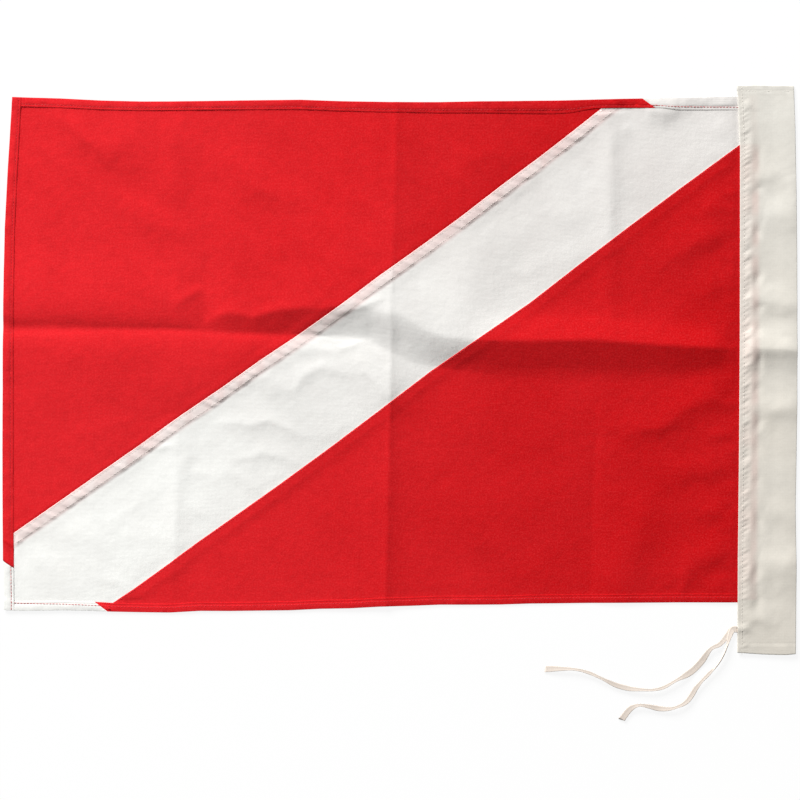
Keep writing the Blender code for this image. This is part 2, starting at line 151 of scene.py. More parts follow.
# Small waves of the fly's edges and of its two diagonal seams, in pixels of the view below: place across or
# down the view, then the shift
TOP_WAVES = [(0, -0.6), (60, -1.2), (100, -2.4), (140, -2.8), (180, -2.0), (240, -0.6), (300, 0.6),
             (340, -0.8), (390, -1.8), (440, -1.8), (480, -1.2), (560, -1.0), (620, -0.2), (739, 0.0)]
BOTTOM_WAVES = [(0, 1.5), (20, 1.7), (60, 2.8), (90, 2.3), (110, 1.3), (140, 0.5), (170, -0.1),
                (200, 1.3), (230, 0.8), (290, 0.7), (320, 1.7), (350, 1.8), (380, 3.0), (410, 3.2),
                (440, 3.8), (470, 3.2), (500, 2.8), (530, 3.2), (560, 2.9), (590, 2.6), (650, 1.7),
                (680, 1.3), (710, 0.6), (739, 0.0)]
UPPER_SEAM_WAVES = [(20, 0.0), (60, 0.4), (100, 0.7), (140, 1.1), (180, 0.2), (220, 0.9), (260, 0.3),
                    (300, 1.8), (340, 2.3), (380, 1.5), (420, 2.5), (460, 3.0), (500, 1.8), (540, 1.9),
                    (580, 0.8), (610, 0.0)]
LOWER_SEAM_WAVES = [(100, 0.0), (130, 1.1), (180, 1.3), (230, 2.1), (280, 2.9), (330, 2.7), (380, 1.3),
                    (430, -0.6), (480, 1.3), (530, 3.3), (580, 1.0), (630, -0.2), (680, -0.6),
                    (725, -0.2), (739, 0.0)]
SEAM_WAVE_REACH = 0.035
FREE_WAVES = [(98, 1.5), (150, 1.0), (230, 0.0), (300, 1.0), (390, 1.8), (550, 1.8), (610, 1.4)]

# A view of 800 by 800 straight down on the flag, in which the places of folds are given
VIEW_SIDE = 800
VIEW_PIXEL = 0.0007576
VIEW_SEAM_PX = 739
VIEW_MIDDLE_PY = 370.3

# Folds of the cloth: crest through these places of the view, reach above or right of it and below or
# left of it in mm, height in mm, and 1 for a sharp crest or 2 for a round one
CREASES = [
    ([(398, 40), (395, 180), (392, 300), (391, 342)], 38, 30, 1.9, 1.0),
    ([(391, 330), (389, 450), (384, 680)], 11, 28, 2.0, 1.0),
    ([(397, 60), (395, 180), (392, 300), (389, 450), (384, 680)], 1.8, 1.8, 0.24, 1.0),
    ([(597, 430), (593, 500), (587, 640)], 7, 18, -1.1, 1.0),
    ([(648, 496), (632, 545), (620, 598)], 14, 16, 1.0, 2.0),
    ([(178, 424), (176, 520), (172, 600)], 6, 9, 0.6, 1.4),
]
SLEEVE_SIDE_FOLDS = [
    ([(608, 108), (610, 160), (610, 230)], 8, 12, 1.1, 1.7),
    ([(610, 210), (611, 328)], 7, 9, 0.6, 1.7),
    ([(646, 108), (662, 113), (680, 108)], 12, 8, 1.4, 2.0),
    ([(620, 124), (628, 132)], 4, 4, 0.25, 2.0),
    ([(716, 126), (740, 134)], 9, 7, 0.6, 2.0),
    ([(700, 214), (718, 207), (742, 207)], 11, 7, 0.8, 2.0),
    ([(676, 259), (694, 246), (716, 236), (744, 238)], 13, 8, 1.1, 1.8),
    ([(700, 291), (720, 284), (742, 281)], 12, 8, 0.7, 2.0),
    ([(720, 326), (742, 322)], 10, 7, 0.5, 2.0),
    ([(625, 430), (662, 423), (688, 409), (714, 397), (742, 398)], 13, 9, 1.2, 1.7),
    ([(646, 430), (668, 427), (684, 425)], 4, 4, 0.3, 1.6),
    ([(706, 432), (722, 436), (742, 448)], 7, 6, 0.6, 2.0),
    ([(672, 476), (704, 470), (742, 465)], 13, 9, 0.9, 2.0),
    ([(700, 512), (742, 503)], 9, 7, 0.7, 2.0),
    ([(680, 576), (704, 558), (742, 542)], 13, 9, 1.1, 1.8),
    ([(686, 574), (684, 596)], 5, 5, 0.4, 2.0),
    ([(716, 586), (742, 574)], 8, 6, 0.6, 2.0),
    ([(455, 172), (475, 158), (500, 150)], 9, 9, 0.3, 2.0),
    ([(540, 262), (590, 252), (640, 244)], 9, 8, 0.2, 2.0),
]
STRIPE_FOLDS = [
    ([(346, 312), (358, 308), (370, 304), (384, 301)], 4, 3, 0.6, 1.5),
    ([(338, 350), (352, 346), (370, 342)], 2.6, 3.2, 0.5, 1.2),
    ([(292, 350), (312, 349), (336, 352)], 5, 4, 0.45, 2.0),
    ([(350, 358), (368, 374), (392, 400)], 16, 8, 1.7, 1.2),
    ([(294, 388), (306, 372), (322, 368), (350, 378)], 6, 5, 0.7, 1.6),
    ([(254, 382), (270, 380), (290, 390)], 7, 7, 0.6, 1.8),
    ([(262, 376), (284, 396), (300, 424)], 9, 8, 0.5, 1.5),
    ([(220, 422), (244, 424), (268, 422), (308, 436)], 6, 5, 0.8, 1.2),
    ([(238, 462), (262, 454), (286, 458), (302, 466)], 6, 5, 0.6, 1.4),
    ([(222, 470), (240, 478), (262, 494)], 7, 6, 0.6, 1.7),
    ([(152, 446), (164, 446), (176, 450)], 4, 3.5, 0.4, 1.8),
    ([(184, 432), (186, 456), (184, 484)], 6, 7, 0.5, 2.0),
    ([(152, 490), (138, 502), (112, 524)], 7, 5, 0.25, 1.8),
    ([(76, 492), (88, 502), (98, 514)], 5, 5, 0.3, 2.0),
    ([(124, 536), (148, 536), (174, 546)], 8, 6, 0.45, 1.7),
    ([(30, 528), (60, 530), (104, 542)], 9, 8, 0.35, 1.8),
    ([(102, 578), (116, 582), (132, 592)], 5, 4, 0.4, 1.8),
    ([(186, 500), (200, 512), (212, 520)], 6, 6, 0.35, 1.8),
    ([(194, 476), (206, 474), (220, 480)], 4, 4, 0.3, 1.6),
    ([(24, 556), (50, 566), (74, 584)], 9, 9, 0.4, 2.0),
    ([(500, 232), (516, 240), (530, 222)], 7, 6, 0.35, 1.8),
    ([(508, 186), (520, 188), (534, 180)], 6, 5, 0.35, 1.8),
    ([(512, 270), (524, 274), (538, 266)], 6, 5, 0.3, 1.8),
    ([(540, 206), (560, 216), (590, 214)], 8, 7, 0.3, 2.0),
]
FREE_SIDE_FOLDS = [
    ([(60, 350), (90, 366), (112, 392)], 10, 10, 0.35, 1.6),
    ([(80, 432), (100, 428), (130, 420)], 7, 6, 0.2, 1.8),
    ([(150, 392), (190, 372), (230, 366)], 16, 14, 0.3, 2.0),
    ([(178, 306), (188, 295), (200, 288), (209, 294), (214, 304)], 4, 4, 0.5, 1.6),
    ([(60, 130), (110, 150), (160, 146)], 26, 26, 0.4, 2.0),
    ([(54, 110), (84, 138), (114, 166)], 13, 9, 1.5, 1.5),
    ([(164, 124), (178, 158), (176, 206)], 9, 12, 0.6, 1.6),
    ([(122, 196), (150, 222), (178, 232)], 11, 9, 1.0, 1.8),
    ([(30, 190), (46, 240), (44, 292)], 12, 14, 0.5, 2.0),
    ([(230, 150), (262, 186), (300, 204)], 12, 10, 0.9, 1.8),
    ([(440, 480), (480, 540), (540, 575)], 14, 14, 0.6, 1.8),
    ([(200, 236), (260, 246), (330, 226)], 22, 20, 0.4, 2.0),
    ([(470, 520), (520, 500), (570, 508)], 24, 22, 0.4, 2.0),
    ([(420, 460), (450, 440), (470, 410)], 18, 16, 0.3, 2.0),
]
# The creases' shared line across the view, and the slope that falls to it from above in the middle: place
# across the view, where the slope begins and ends down the view, and its height in mm
LEVEL_CREASE = [(0, 325), (60, 326), (130, 328), (170, 328.5), (215, 332), (250, 333.5), (300, 335),
                (345, 337), (397, 340), (480, 341), (597, 340), (663, 345), (742, 349), (800, 354)]
FALL = [(186, 328, 330, 0.0), (204, 324, 331, 0.3), (213, 319, 332, 1.3), (221, 315, 332, 2.4),
        (233, 313, 333, 3.1), (244, 315, 333, 3.1), (250, 318, 333.5, 2.9), (256, 317, 334, 3.3),
        (268, 313, 334, 3.9), (284, 309.5, 335, 4.6), (300, 308.5, 335, 4.8), (320, 308.5, 336, 4.9),
        (334, 307, 336.5, 5.4), (345, 305, 337, 5.9), (355, 303.5, 338, 6.2), (370, 309, 340, 6.1),
        (385, 313, 350, 6.1), (400, 314, 356, 6.1), (410, 320, 362, 6.1), (430, 333, 366, 6.2),
        (450, 338, 369, 6.3), (480, 340, 373, 6.5), (520, 341, 383, 6.6)]
# Height in mm that the slope's crest evens out to farther up
EVEN_CREST = [(186, 0.0), (204, 0.3), (213, 1.1), (221, 1.9), (233, 2.6), (250, 2.8), (300, 4.6),
              (345, 5.8), (400, 6.1), (450, 6.3), (520, 6.6)]
# Reach in mm of the ground above that crest, height and run in mm of the bank below the crease, and the share
# of its full reach that the ridge has, all across the view
CREST_REACH = [(186, 42), (300, 60), (345, 100), (375, 100), (420, 82), (470, 90)]
BANK_HEIGHT = [(0, 2.1), (170, 2.1), (300, 2.3), (330, 1.5), (390, 0.7), (430, 0.0)]
BANK_RUN = [(0, 7), (300, 8.5), (390, 10)]
RIDGE_REACH = [(420, 1.0), (600, 1.0), (665, 0.9), (715, 0.66), (742, 0.6)]

# Places of the pole sleeve's left and right edges, down the view, and of its wrinkles
SLEEVE_LEFT = [(86, 737.2), (110, 738.6), (150, 740.2), (330, 740.0), (450, 739.2), (560, 738.0),
               (654, 737.6)]
SLEEVE_RIGHT = [(86, 793.6), (130, 795.0), (190, 796.0), (260, 796.8), (400, 796.8), (450, 796.2),
                (510, 795.2), (570, 796.0), (654, 795.4)]
SLEEVE_FOLDS = [
    ([(748, 300), (778, 303), (800, 308)], 10, 8, 1.1, 1.8),
    ([(738, 345), (778, 349), (800, 352)], 12, 13, 2.8, 1.5),
    ([(764, 216), (784, 218), (800, 220)], 11, 9, 0.8, 2.0),
    ([(760, 408), (780, 408), (800, 406)], 10, 9, 1.0, 1.8),
    ([(758, 562), (778, 566), (800, 568)], 12, 17, 1.2, 2.0),
    ([(766, 508), (784, 516), (800, 524)], 9, 8, 0.5, 2.0),
    ([(788, 176), (793, 190), (794, 206)], 6, 5, 0.5, 2.0),
    ([(756, 176), (768, 178), (780, 172)], 7, 5, 0.4, 2.0),
    ([(745, 104), (752, 108)], 4, 3, 0.5, 2.0),
    ([(744, 620), (758, 619), (772, 622)], 6, 5, 0.5, 2.0),
]
# Height of its front wall in mm, across from the stitched edge to the fold, beside the fly
SLEEVE_PROFILE = [(0, 2.0), (7.0, 1.99), (9.0, 1.92), (12.5, 1.62), (16.0, 1.50), (20.0, 1.43),
                  (26.0, 1.50), (33.7, 1.95), (40.0, 2.15), (43.2, 2.15)]
# The same where nothing lies beside it
PLAIN_PROFILE = [(0, 1.9), (10, 1.8), (30, 2.0), (43.2, 2.2)]
# How much higher than straight its bottom end runs, across the view, in pixels of it
SLEEVE_END_RISE = [(738, 2.2), (750, 1.3), (762, 0.5), (778, 0), (786, 0), (795, 0.8)]
# Dents beside its seam: middle down the view and reach, in pixels, and depth in mm
PUCKERS = [(153, 15, 0.7), (187, 5, 0.7), (230, 8, 1.1), (275, 9, 1.2), (308, 6, 1.0), (330, 6, 0.9),
           (362, 13, 1.3), (388, 6, 0.9), (423, 9, 1.2), (446, 12, 0.6), (480, 12, 0.7), (520, 13, 1.1),
           (570, 12, 1.0), (598, 13, 1.0)]

# The tie, from the sleeve's stitched edge and the fly's bottom corner: where it leaves the seam, how far its
# doubled end reaches in and how long it is, how high the tape's middle lies on the surface, and the heights
# of its two layers in the seam
TIE_EXIT = (-0.0012, -0.0204)
TIE_SEWN_END, TIE_SEWN_LENGTH = 0.009, 0.0102
TAPE_REST = 0.00045
TAPE_SEWN_HIGH, TAPE_SEWN_LOW = 0.00135, 0.00075
# The tape's section, in half widths and half thicknesses, and the turn that it takes for each turn given
TAPE_OUTLINE = [(-1.0, 0.0), (-0.97, 0.75), (-0.86, 1.0), (-0.5, 0.72), (0.0, 0.68), (0.5, 0.72), (0.86, 1.0),
                (0.97, 0.75), (1.0, 0.0), (0.97, -0.75), (0.86, -1.0), (0.5, -0.72), (0.0, -0.68),
                (-0.5, -0.72), (-0.86, -1.0), (-0.97, -0.75)]
TAPE_EASE = [(0, 0), (66, 8), (82, 78), (90, 90)]
# The tails' routes from the CAD model, each point with the turn of the tape about its run in degrees
UPPER_TAIL = [
    (-0.0022, -0.0206, 18), (-0.0054, -0.0207, 20), (-0.0092, -0.0254, 34), (-0.0146, -0.0316, 44),
    (-0.0217, -0.0353, 52), (-0.0284, -0.0448, 12), (-0.0362, -0.0526, 8), (-0.0470, -0.0586, 62),
    (-0.0575, -0.0644, 58), (-0.0660, -0.0662, 66), (-0.0750, -0.0660, 60), (-0.0840, -0.0651, 40),
    (-0.0936, -0.0625, 42), (-0.1038, -0.0577, 64), (-0.1139, -0.0532, 60), (-0.1241, -0.0507, 66),
    (-0.1350, -0.0502, 48), (-0.1470, -0.0505, 10),
]
LOWER_TAIL = [
    (-0.0022, -0.0206, 18), (-0.0054, -0.0212, 30), (-0.0096, -0.0332, 76), (-0.0112, -0.0374, 78),
    (-0.0145, -0.0437, 77), (-0.0188, -0.0495, 72), (-0.0237, -0.0547, 56), (-0.0287, -0.0599, 62),
    (-0.0330, -0.0653, 44), (-0.0362, -0.0707, 38), (-0.0404, -0.0757, 46), (-0.0466, -0.0789, 64),
    (-0.0536, -0.0806, 52), (-0.0612, -0.0803, 36), (-0.0690, -0.0786, 52), (-0.0762, -0.0778, 62),
    (-0.0826, -0.0808, 30), (-0.0891, -0.0891, 14),
]

# The stage, in metres
FLOOR_REACH = 30
LAMP_PLACE = (-4.3, 7.5, 4.0)
LAMP_SIZE = 3.3


def linear(hex_colour):
    """Linear colour from an sRGB hex value."""
    values = [int(hex_colour[i:i + 2], 16) / 255 for i in (0, 2, 4)]
    return tuple(c / 12.92 if c <= 0.04045 else ((c + 0.055) / 1.055) ** 2.4 for c in values)


def colour(name, description, hex_colour):
    """A colour that a user may change, from its sRGB hex value."""
    return bpy.props.FloatVectorProperty(
        name=name, description=description, default=linear(hex_colour), min=0.0, max=1.0, size=3,
        subtype="COLOR")


class DiveFlagColours(bpy.types.PropertyGroup):
    red: colour("Red nylon", "Red cloth on the free side", "E42229")
    # Painted shade: this darker red towards the sleeve stands in for the lamp's light falling off there
    red_painted_shade: colour("Deep red nylon", "Red cloth towards the sleeve, where its dye looks deeper", "C5080F")
    # Painted highlight: the red cloth's thread tops lightened as if they catch the light
    red_painted_highlight: colour(
        "Red thread tops", "Tops of the red cloth's threads, which catch the light", "F06E6E")
    white: colour("White nylon", "White cloth on the free side", "F5F5F1")
    # Painted shade: this greyer, warmer white towards the sleeve stands in for the lamp's light falling off
    # there
    white_painted_shade: colour("Grey-white nylon", "White cloth towards the sleeve", "DED9D5")
    seam_pink: colour("Seam pink", "White cloth with the red seam allowance under it", "DFBFBB")
    canvas: colour("Canvas", "Pole sleeve near its top", "E0DDD5")
    # Painted shade: this darker canvas towards the sleeve's bottom stands in for the lamp's light falling off
    # there
    canvas_painted_shade: colour("Deep canvas", "Pole sleeve near its bottom", "D8D2C7")
    canvas_pink: colour("Canvas pink", "Canvas with the red edge of the fly under it", "E0C9C0")
    tape: colour("Tape", "Tie tape", "E0D6CC")
    tape_deep: colour("Deep tape", "Tie tape between its ribs", "D4C6BA")
    red_thread: colour("Red thread", "Sewing thread of the hems and the lower seam", "C8202A")
    white_thread: colour("White thread", "Sewing thread of the sleeve and the upper seam", "E6E0D8")


def distance_setting(name, description, default, low, high):
    """A length in metres that a user may change."""
    return bpy.props.FloatProperty(
        name=name, description=description, default=default, min=low, max=high, subtype="DISTANCE",
        unit="LENGTH")


class DiveFlagSettings(bpy.types.PropertyGroup):
    fly_length: distance_setting(
        "Fly length", "From the free edge to the sleeve's stitched edge", 0.558, 0.3, 1.2)
    hoist: distance_setting("Hoist", "Height of the fly along the sleeve", 0.383, 0.2, 0.9)
    hem_width: distance_setting("Hem width", "Width of the hem folded to the front", 0.0068, 0.004, 0.015)
    stripe_start: distance_setting(
        "Stripe start", "Height of the upper diagonal seam at the free edge", 0.0524, 0.02, 0.1)
    stripe_top_drop: distance_setting(
        "Stripe top drop", "Drop of the lower diagonal seam below the top corner at the sleeve",
        0.037, 0.02, 0.1)
    stripe_width: distance_setting(
        "Stripe width", "Width of the white stripe across its run", 0.086, 0.05, 0.12)
    upper_band: distance_setting(
        "Upper seam band", "Width of the felled band along the upper diagonal seam", 0.0083, 0.005, 0.012)
    lower_band: distance_setting(
        "Lower seam band", "Width of the felled band along the lower diagonal seam", 0.0072, 0.005, 0.012)
    cloth_step: distance_setting("Cloth step", "Spacing of the cloth's mesh", 0.0018, 0.001, 0.01)
    cloth_thickness: distance_setting(
        "Cloth thickness", "Thickness of the nylon", 0.00012, 0.00008, 0.0003)
    canvas_thickness: distance_setting(
        "Canvas thickness", "Thickness of the sleeve's canvas", 0.0004, 0.0002, 0.0006)
    tape_width: distance_setting("Tape width", "Width of the tie tape", 0.005, 0.003, 0.01)
    tape_thickness: distance_setting("Tape thickness", "Thickness of the tie tape", 0.0005, 0.0003, 0.001)
    stitch_pitch: distance_setting(
        "Stitch pitch", "Length of one stitch of the lockstitch, needle hole to needle hole",
        0.00242, 0.0015, 0.005)
    thread_width: distance_setting("Thread width", "Width of the sewing thread", 0.00042, 0.0002, 0.001)
    key_light: bpy.props.FloatProperty(
        name="Key light", description="Power of the large soft lamp at the upper left",
        default=1940.0, min=0.0, max=6000.0, unit="POWER")
    sky_light: bpy.props.FloatProperty(
        name="Sky light", description="Strength of the even light from all round",
        default=0.2, min=0.0, max=2.0)


def settings():
    return bpy.context.scene.dive_flag


def colours():
    return bpy.context.scene.dive_flag_colours


def opaque(rgb):
    return tuple(rgb) + (1.0,)


# Shapes of numbers
def smooth(share):
    """An even rise from 0 to 1, without a corner."""
    share = np.clip(share, 0, 1)
    return share * share * (3 - 2 * share)


def arch(share):
    """0 at both ends and 1 in the middle."""
    share = np.clip(share, 0, 1)
    return 4 * share * (1 - share)


def bell(share):
    """1 in the middle, and down to nothing on both sides."""
    return np.exp(-(share ** 2))


def from_table(at, table):
    """The second column of a table, read at places in its first."""
    return np.interp(at, *zip(*table))


def ripples(x, y, size, seed):
    """Smooth random heights between -1 and 1, in cells of this size."""
    cells = np.random.default_rng(seed).uniform(-1, 1, (64, 64))
    i, j = x / size + 1000.37, y / size + 1000.71
    left, low = np.floor(i).astype(int), np.floor(j).astype(int)
    p, q = smooth(i - left), smooth(j - low)
    a, b = left % 64, (left + 1) % 64
    c, d = low % 64, (low + 1) % 64
    bottom = cells[a, c] * (1 - p) + cells[b, c] * p
    top = cells[a, d] * (1 - p) + cells[b, d] * p
    return bottom * (1 - q) + top * q


def view_place(px, py):
    """A place of the view, in metres from the sleeve's stitched edge and the fly's bottom corner."""
    return (px - VIEW_SEAM_PX) * VIEW_PIXEL, (VIEW_MIDDLE_PY - py) * VIEW_PIXEL - FLY_BOTTOM_Y


def view_px(x):
    """Where a place off the stitched edge is across the view."""
    return x / VIEW_PIXEL + VIEW_SEAM_PX


def view_py(y):
    """Where a place off the fly's bottom corner is down the view."""
    return VIEW_MIDDLE_PY - (y + FLY_BOTTOM_Y) / VIEW_PIXEL


def in_frame(x, y, z):
    """Points in the shared frame, from places off the sleeve's stitched edge and the fly's bottom corner."""
    return np.stack([x + SEAM_X, y + FLY_BOTTOM_Y, z], axis=1)


def fold_height(x, y, folds):
    """Height of a list of folds at each place."""
    total = np.zeros_like(x)
    for crest, reach_above, reach_below, height, power in folds:
        points = [view_place(px, py) for px, py in crest]
        runs = [math.dist(a, b) for a, b in zip(points, points[1:])]
        best = np.full_like(x, 1e9)
        side = np.zeros_like(x)
        share = np.zeros_like(x)
        before = 0
        for (ax, ay), (bx, by), run in zip(points, points[1:], runs):
            dx, dy = (bx - ax) / run, (by - ay) / run
            along = (x - ax) * dx + (y - ay) * dy
            held = np.clip(along, 0, run)
            off = np.hypot(x - ax - held * dx, y - ay - held * dy)
            nearer = off < best
            best = np.where(nearer, off, best)
            side = np.where(nearer, dx * (y - ay) - dy * (x - ax), side)
            share = np.where(nearer, (before + held) / sum(runs), share)
            before += run
        reach = np.where(side > 0, reach_above, reach_below) * MM
        body = np.sqrt(arch(0.04 + 0.92 * share))
        total += height * MM * body * np.exp(-((best / reach) ** power))
    return total


# The fly as it lies
def seam_angle():
    """Angle between the diagonal seams and the bottom edge, which the fly's sizes and the stripe's give."""
    flag = settings()
    climb = flag.hoist - flag.stripe_top_drop - flag.stripe_start
    across = math.hypot(climb, flag.fly_length)
    return math.atan2(climb, flag.fly_length) + math.asin(flag.stripe_width / across)


def from_upper_seam(u, v):
    """Distance from the upper diagonal seam, below 0 on the white side."""
    angle = seam_angle()
    return -u * math.sin(angle) + (v - settings().stripe_start) * math.cos(angle)


def along_seam(u, v):
    """Distance along the diagonal seams, from the free edge."""
    angle = seam_angle()
    return u * math.cos(angle) + (v - settings().stripe_start) * math.sin(angle)


def laid_place(u, v):
    """Where a point of the cut cloth lies, from the sleeve's stitched edge and the bottom corner there."""
    flag = settings()
    angle = seam_angle()
    s, t = u / flag.fly_length, v / flag.hoist
    free, low = 1 - s, 1 - t
    lopsided = arch(np.clip(s, 0, 1) ** (math.log(0.5) / math.log(BOTTOM_BOW_PEAK_SHARE)))
    x = -flag.fly_length * free + free * t * TOP_CORNER_SHORT - free * FREE_EDGE_BOW * arch(t)
    y = v - free * low * BOTTOM_CORNER_DROP - t * TOP_EDGE_DIP * arch(s) - low * BOTTOM_EDGE_BOW * lopsided
    off_seam = from_upper_seam(u, v)
    bow = UPPER_SEAM_BOW * arch(along_seam(u, v) * math.sin(angle) / flag.hoist)
    bow = bow * bell(off_seam / SEAM_BOW_REACH) * arch(t) * arch(s)
    x, y = x + bow * math.sin(angle), y - bow * math.cos(angle)
    px, py = view_px(x), view_py(y)
    inner = smooth(5 * arch(t)) * VIEW_PIXEL
    for waves, off in ((UPPER_SEAM_WAVES, off_seam), (LOWER_SEAM_WAVES, off_seam + flag.stripe_width)):
        y = y - from_table(px, waves) * inner * bell(off / SEAM_WAVE_REACH)
    y = y + from_table(px, TOP_WAVES) * VIEW_PIXEL * smooth((t - 0.75) / 0.25)
    y = y + from_table(px, BOTTOM_WAVES) * VIEW_PIXEL * smooth((0.25 - t) / 0.25)
    x = x + from_table(py, FREE_WAVES) * VIEW_PIXEL * smooth((0.25 - s) / 0.25)
    return x, y


def level_crease(x, y):
    """The crease across: a valley on the free side, where a slope falls to it from above in the middle, and a
    ridge with a long slope below it on the sleeve side."""
    px, py = view_px(x), view_py(y)
    to_mm = VIEW_PIXEL / MM
    off = (from_table(px, LEVEL_CREASE) - py) * to_mm
    above, below = np.maximum(off, 0), np.maximum(-off, 0)
    deep = 1 - smooth((px - 170) / 50)
    shoulder = 2.7 * deep * (1 - np.exp(-above / 8)) * bell(above / 45)
    across, begins, ends, heights = zip(*FALL)
    high, start, end = (np.interp(px, across, column) for column in (heights, begins, ends))
    down = np.clip((end - py) / np.maximum(end - start, 1), 0, 1)
    rounded = smooth((px - 325) / 40)
    slope = high * (down ** 1.1 * (1 - rounded) + (0.6 * down + 0.4 * smooth(down)) * rounded)
    away = np.maximum(start - py, 0) * to_mm
    level = high + (from_table(px, EVEN_CREST) - high) * smooth(away / 9)
    pocket = np.where(away > 0, level * np.exp(-((away / from_table(px, CREST_REACH)) ** 1.25)), slope)
    foot = np.maximum(py - np.maximum(end, from_table(px, LEVEL_CREASE)), 0) * to_mm
    bank = from_table(px, BANK_HEIGHT) * (1 - np.exp(-foot / from_table(px, BANK_RUN))) * bell(foot / 50)
    reach = from_table(px, RIDGE_REACH)
    a, b = above / reach, below / reach
    north = np.where(a < 15, 6.6 - 0.265 * a, 2.625 * np.exp(-(np.maximum(a - 15, 0)) / 9.9))
    south = np.where(b < 19, 6.6 - 0.255 * b, 1.755 * (1 - np.clip((b - 19) / 13.8, 0, 1)) ** 2)
    ridge = np.where(off > 0, north, south) * reach
    share = smooth((px - 452) / 75)
    return 0.8 * ((np.maximum(shoulder, pocket) + bank) * (1 - share) + ridge * share) * MM


def lay_of_cloth(x, y):
    """Height of the cloth over the surface, with its creases, folds and small unevenness."""
    height = level_crease(x, y)
    warped_x = x + 0.0020 * ripples(x, y, 0.014, 91) + 0.0005 * ripples(x, y, 0.006, 92)
    warped_y = y + 0.0020 * ripples(x, y, 0.014, 93) + 0.0005 * ripples(x, y, 0.006, 94)
    height += fold_height(x, y, CREASES)
    height += 1.05 * fold_height(warped_x, warped_y, SLEEVE_SIDE_FOLDS + FREE_SIDE_FOLDS)
    height += 0.75 * fold_height(warped_x, warped_y, STRIPE_FOLDS)
    height += 0.35 * MM * (1 + ripples(x, y, 0.07, 3)) + 0.12 * MM * (1 + ripples(x, y, 0.026, 5))
    off_seam = from_upper_seam(x + settings().fly_length, y)
    drawn_down = ripples((x - y) * 0.22, (x + y) * 0.7, 0.021, 7)
    drawn_down += 0.5 * ripples((x - y) * 0.3, (x + y) * 0.7, 0.010, 6)
    height += 0.36 * MM * (1.5 + drawn_down) * (0.3 + 0.7 * smooth(0.5 + off_seam / 0.02))
    height += 0.055 * MM * (1 + ripples(x, y, 0.011, 8)) + 0.022 * MM * (1 + ripples(x, y, 0.0055, 9))
    rumpled = smooth((off_seam + 0.09) / 0.006) * smooth(-off_seam / 0.004)
    rumpled = rumpled * (1 - 0.5 * smooth((view_px(x) - 300) / 120))
    height += 0.12 * MM * rumpled * (1 + ripples(x + y * 0.4, y - x * 0.2, 0.017, 11))
    sewn = smooth(-x / 0.022)
    drawn = bell(x / 0.016) * (1 - bell(x / 0.003))
    height = height * (0.05 + 0.95 * sewn) + 0.3 * MM * drawn * (1 + ripples(x * 0.35, y, 0.007, 21))
    height = 0.5 * (height + np.sqrt(height * height + (0.3 * MM) ** 2))
    return CLOTH_CLEARANCE + height + SEWN_LIFT * (1 - sewn)


def fold_profile(width, puff):
    """Arc length, inward run and lift along a hem: round its fold, over its top and in under itself."""
    radius, turn = HEM_FOLD_RADIUS, TURN_RADIUS
    run, lift, length = [], [], []

    def put(at, inward, up):
        length.append(at)
        run.append(inward)
        lift.append(up)

    half = math.pi * radius
    for i in range(FOLD_STEPS + 1):
        angle = math.pi * i / FOLD_STEPS
        put(half * i / FOLD_STEPS, -radius * math.sin(angle), radius * (1 - math.cos(angle)))
    for share, rise in HEM_ROLL:
        put(half + width * share, width * share, 2 * radius + puff * rise)
    end, top = half + width, 2 * radius - puff * 0.1
    for i in range(1, 5):
        angle = math.pi * i / 4
        put(end + turn * angle, width + turn * math.sin(angle), top - turn * (1 - math.cos(angle)))
    put(end + math.pi * turn + TURN_WIDTH, width - TURN_WIDTH, top - 2 * turn)
    return np.array(length), np.array(run), np.array(lift)


def hem_spread(at, widths):
    """The hem's width here as a factor, and the share of it where its stitches run."""
    places, factors, rows = zip(*widths)
    return np.interp(at, places, factors), np.interp(at, places, rows)


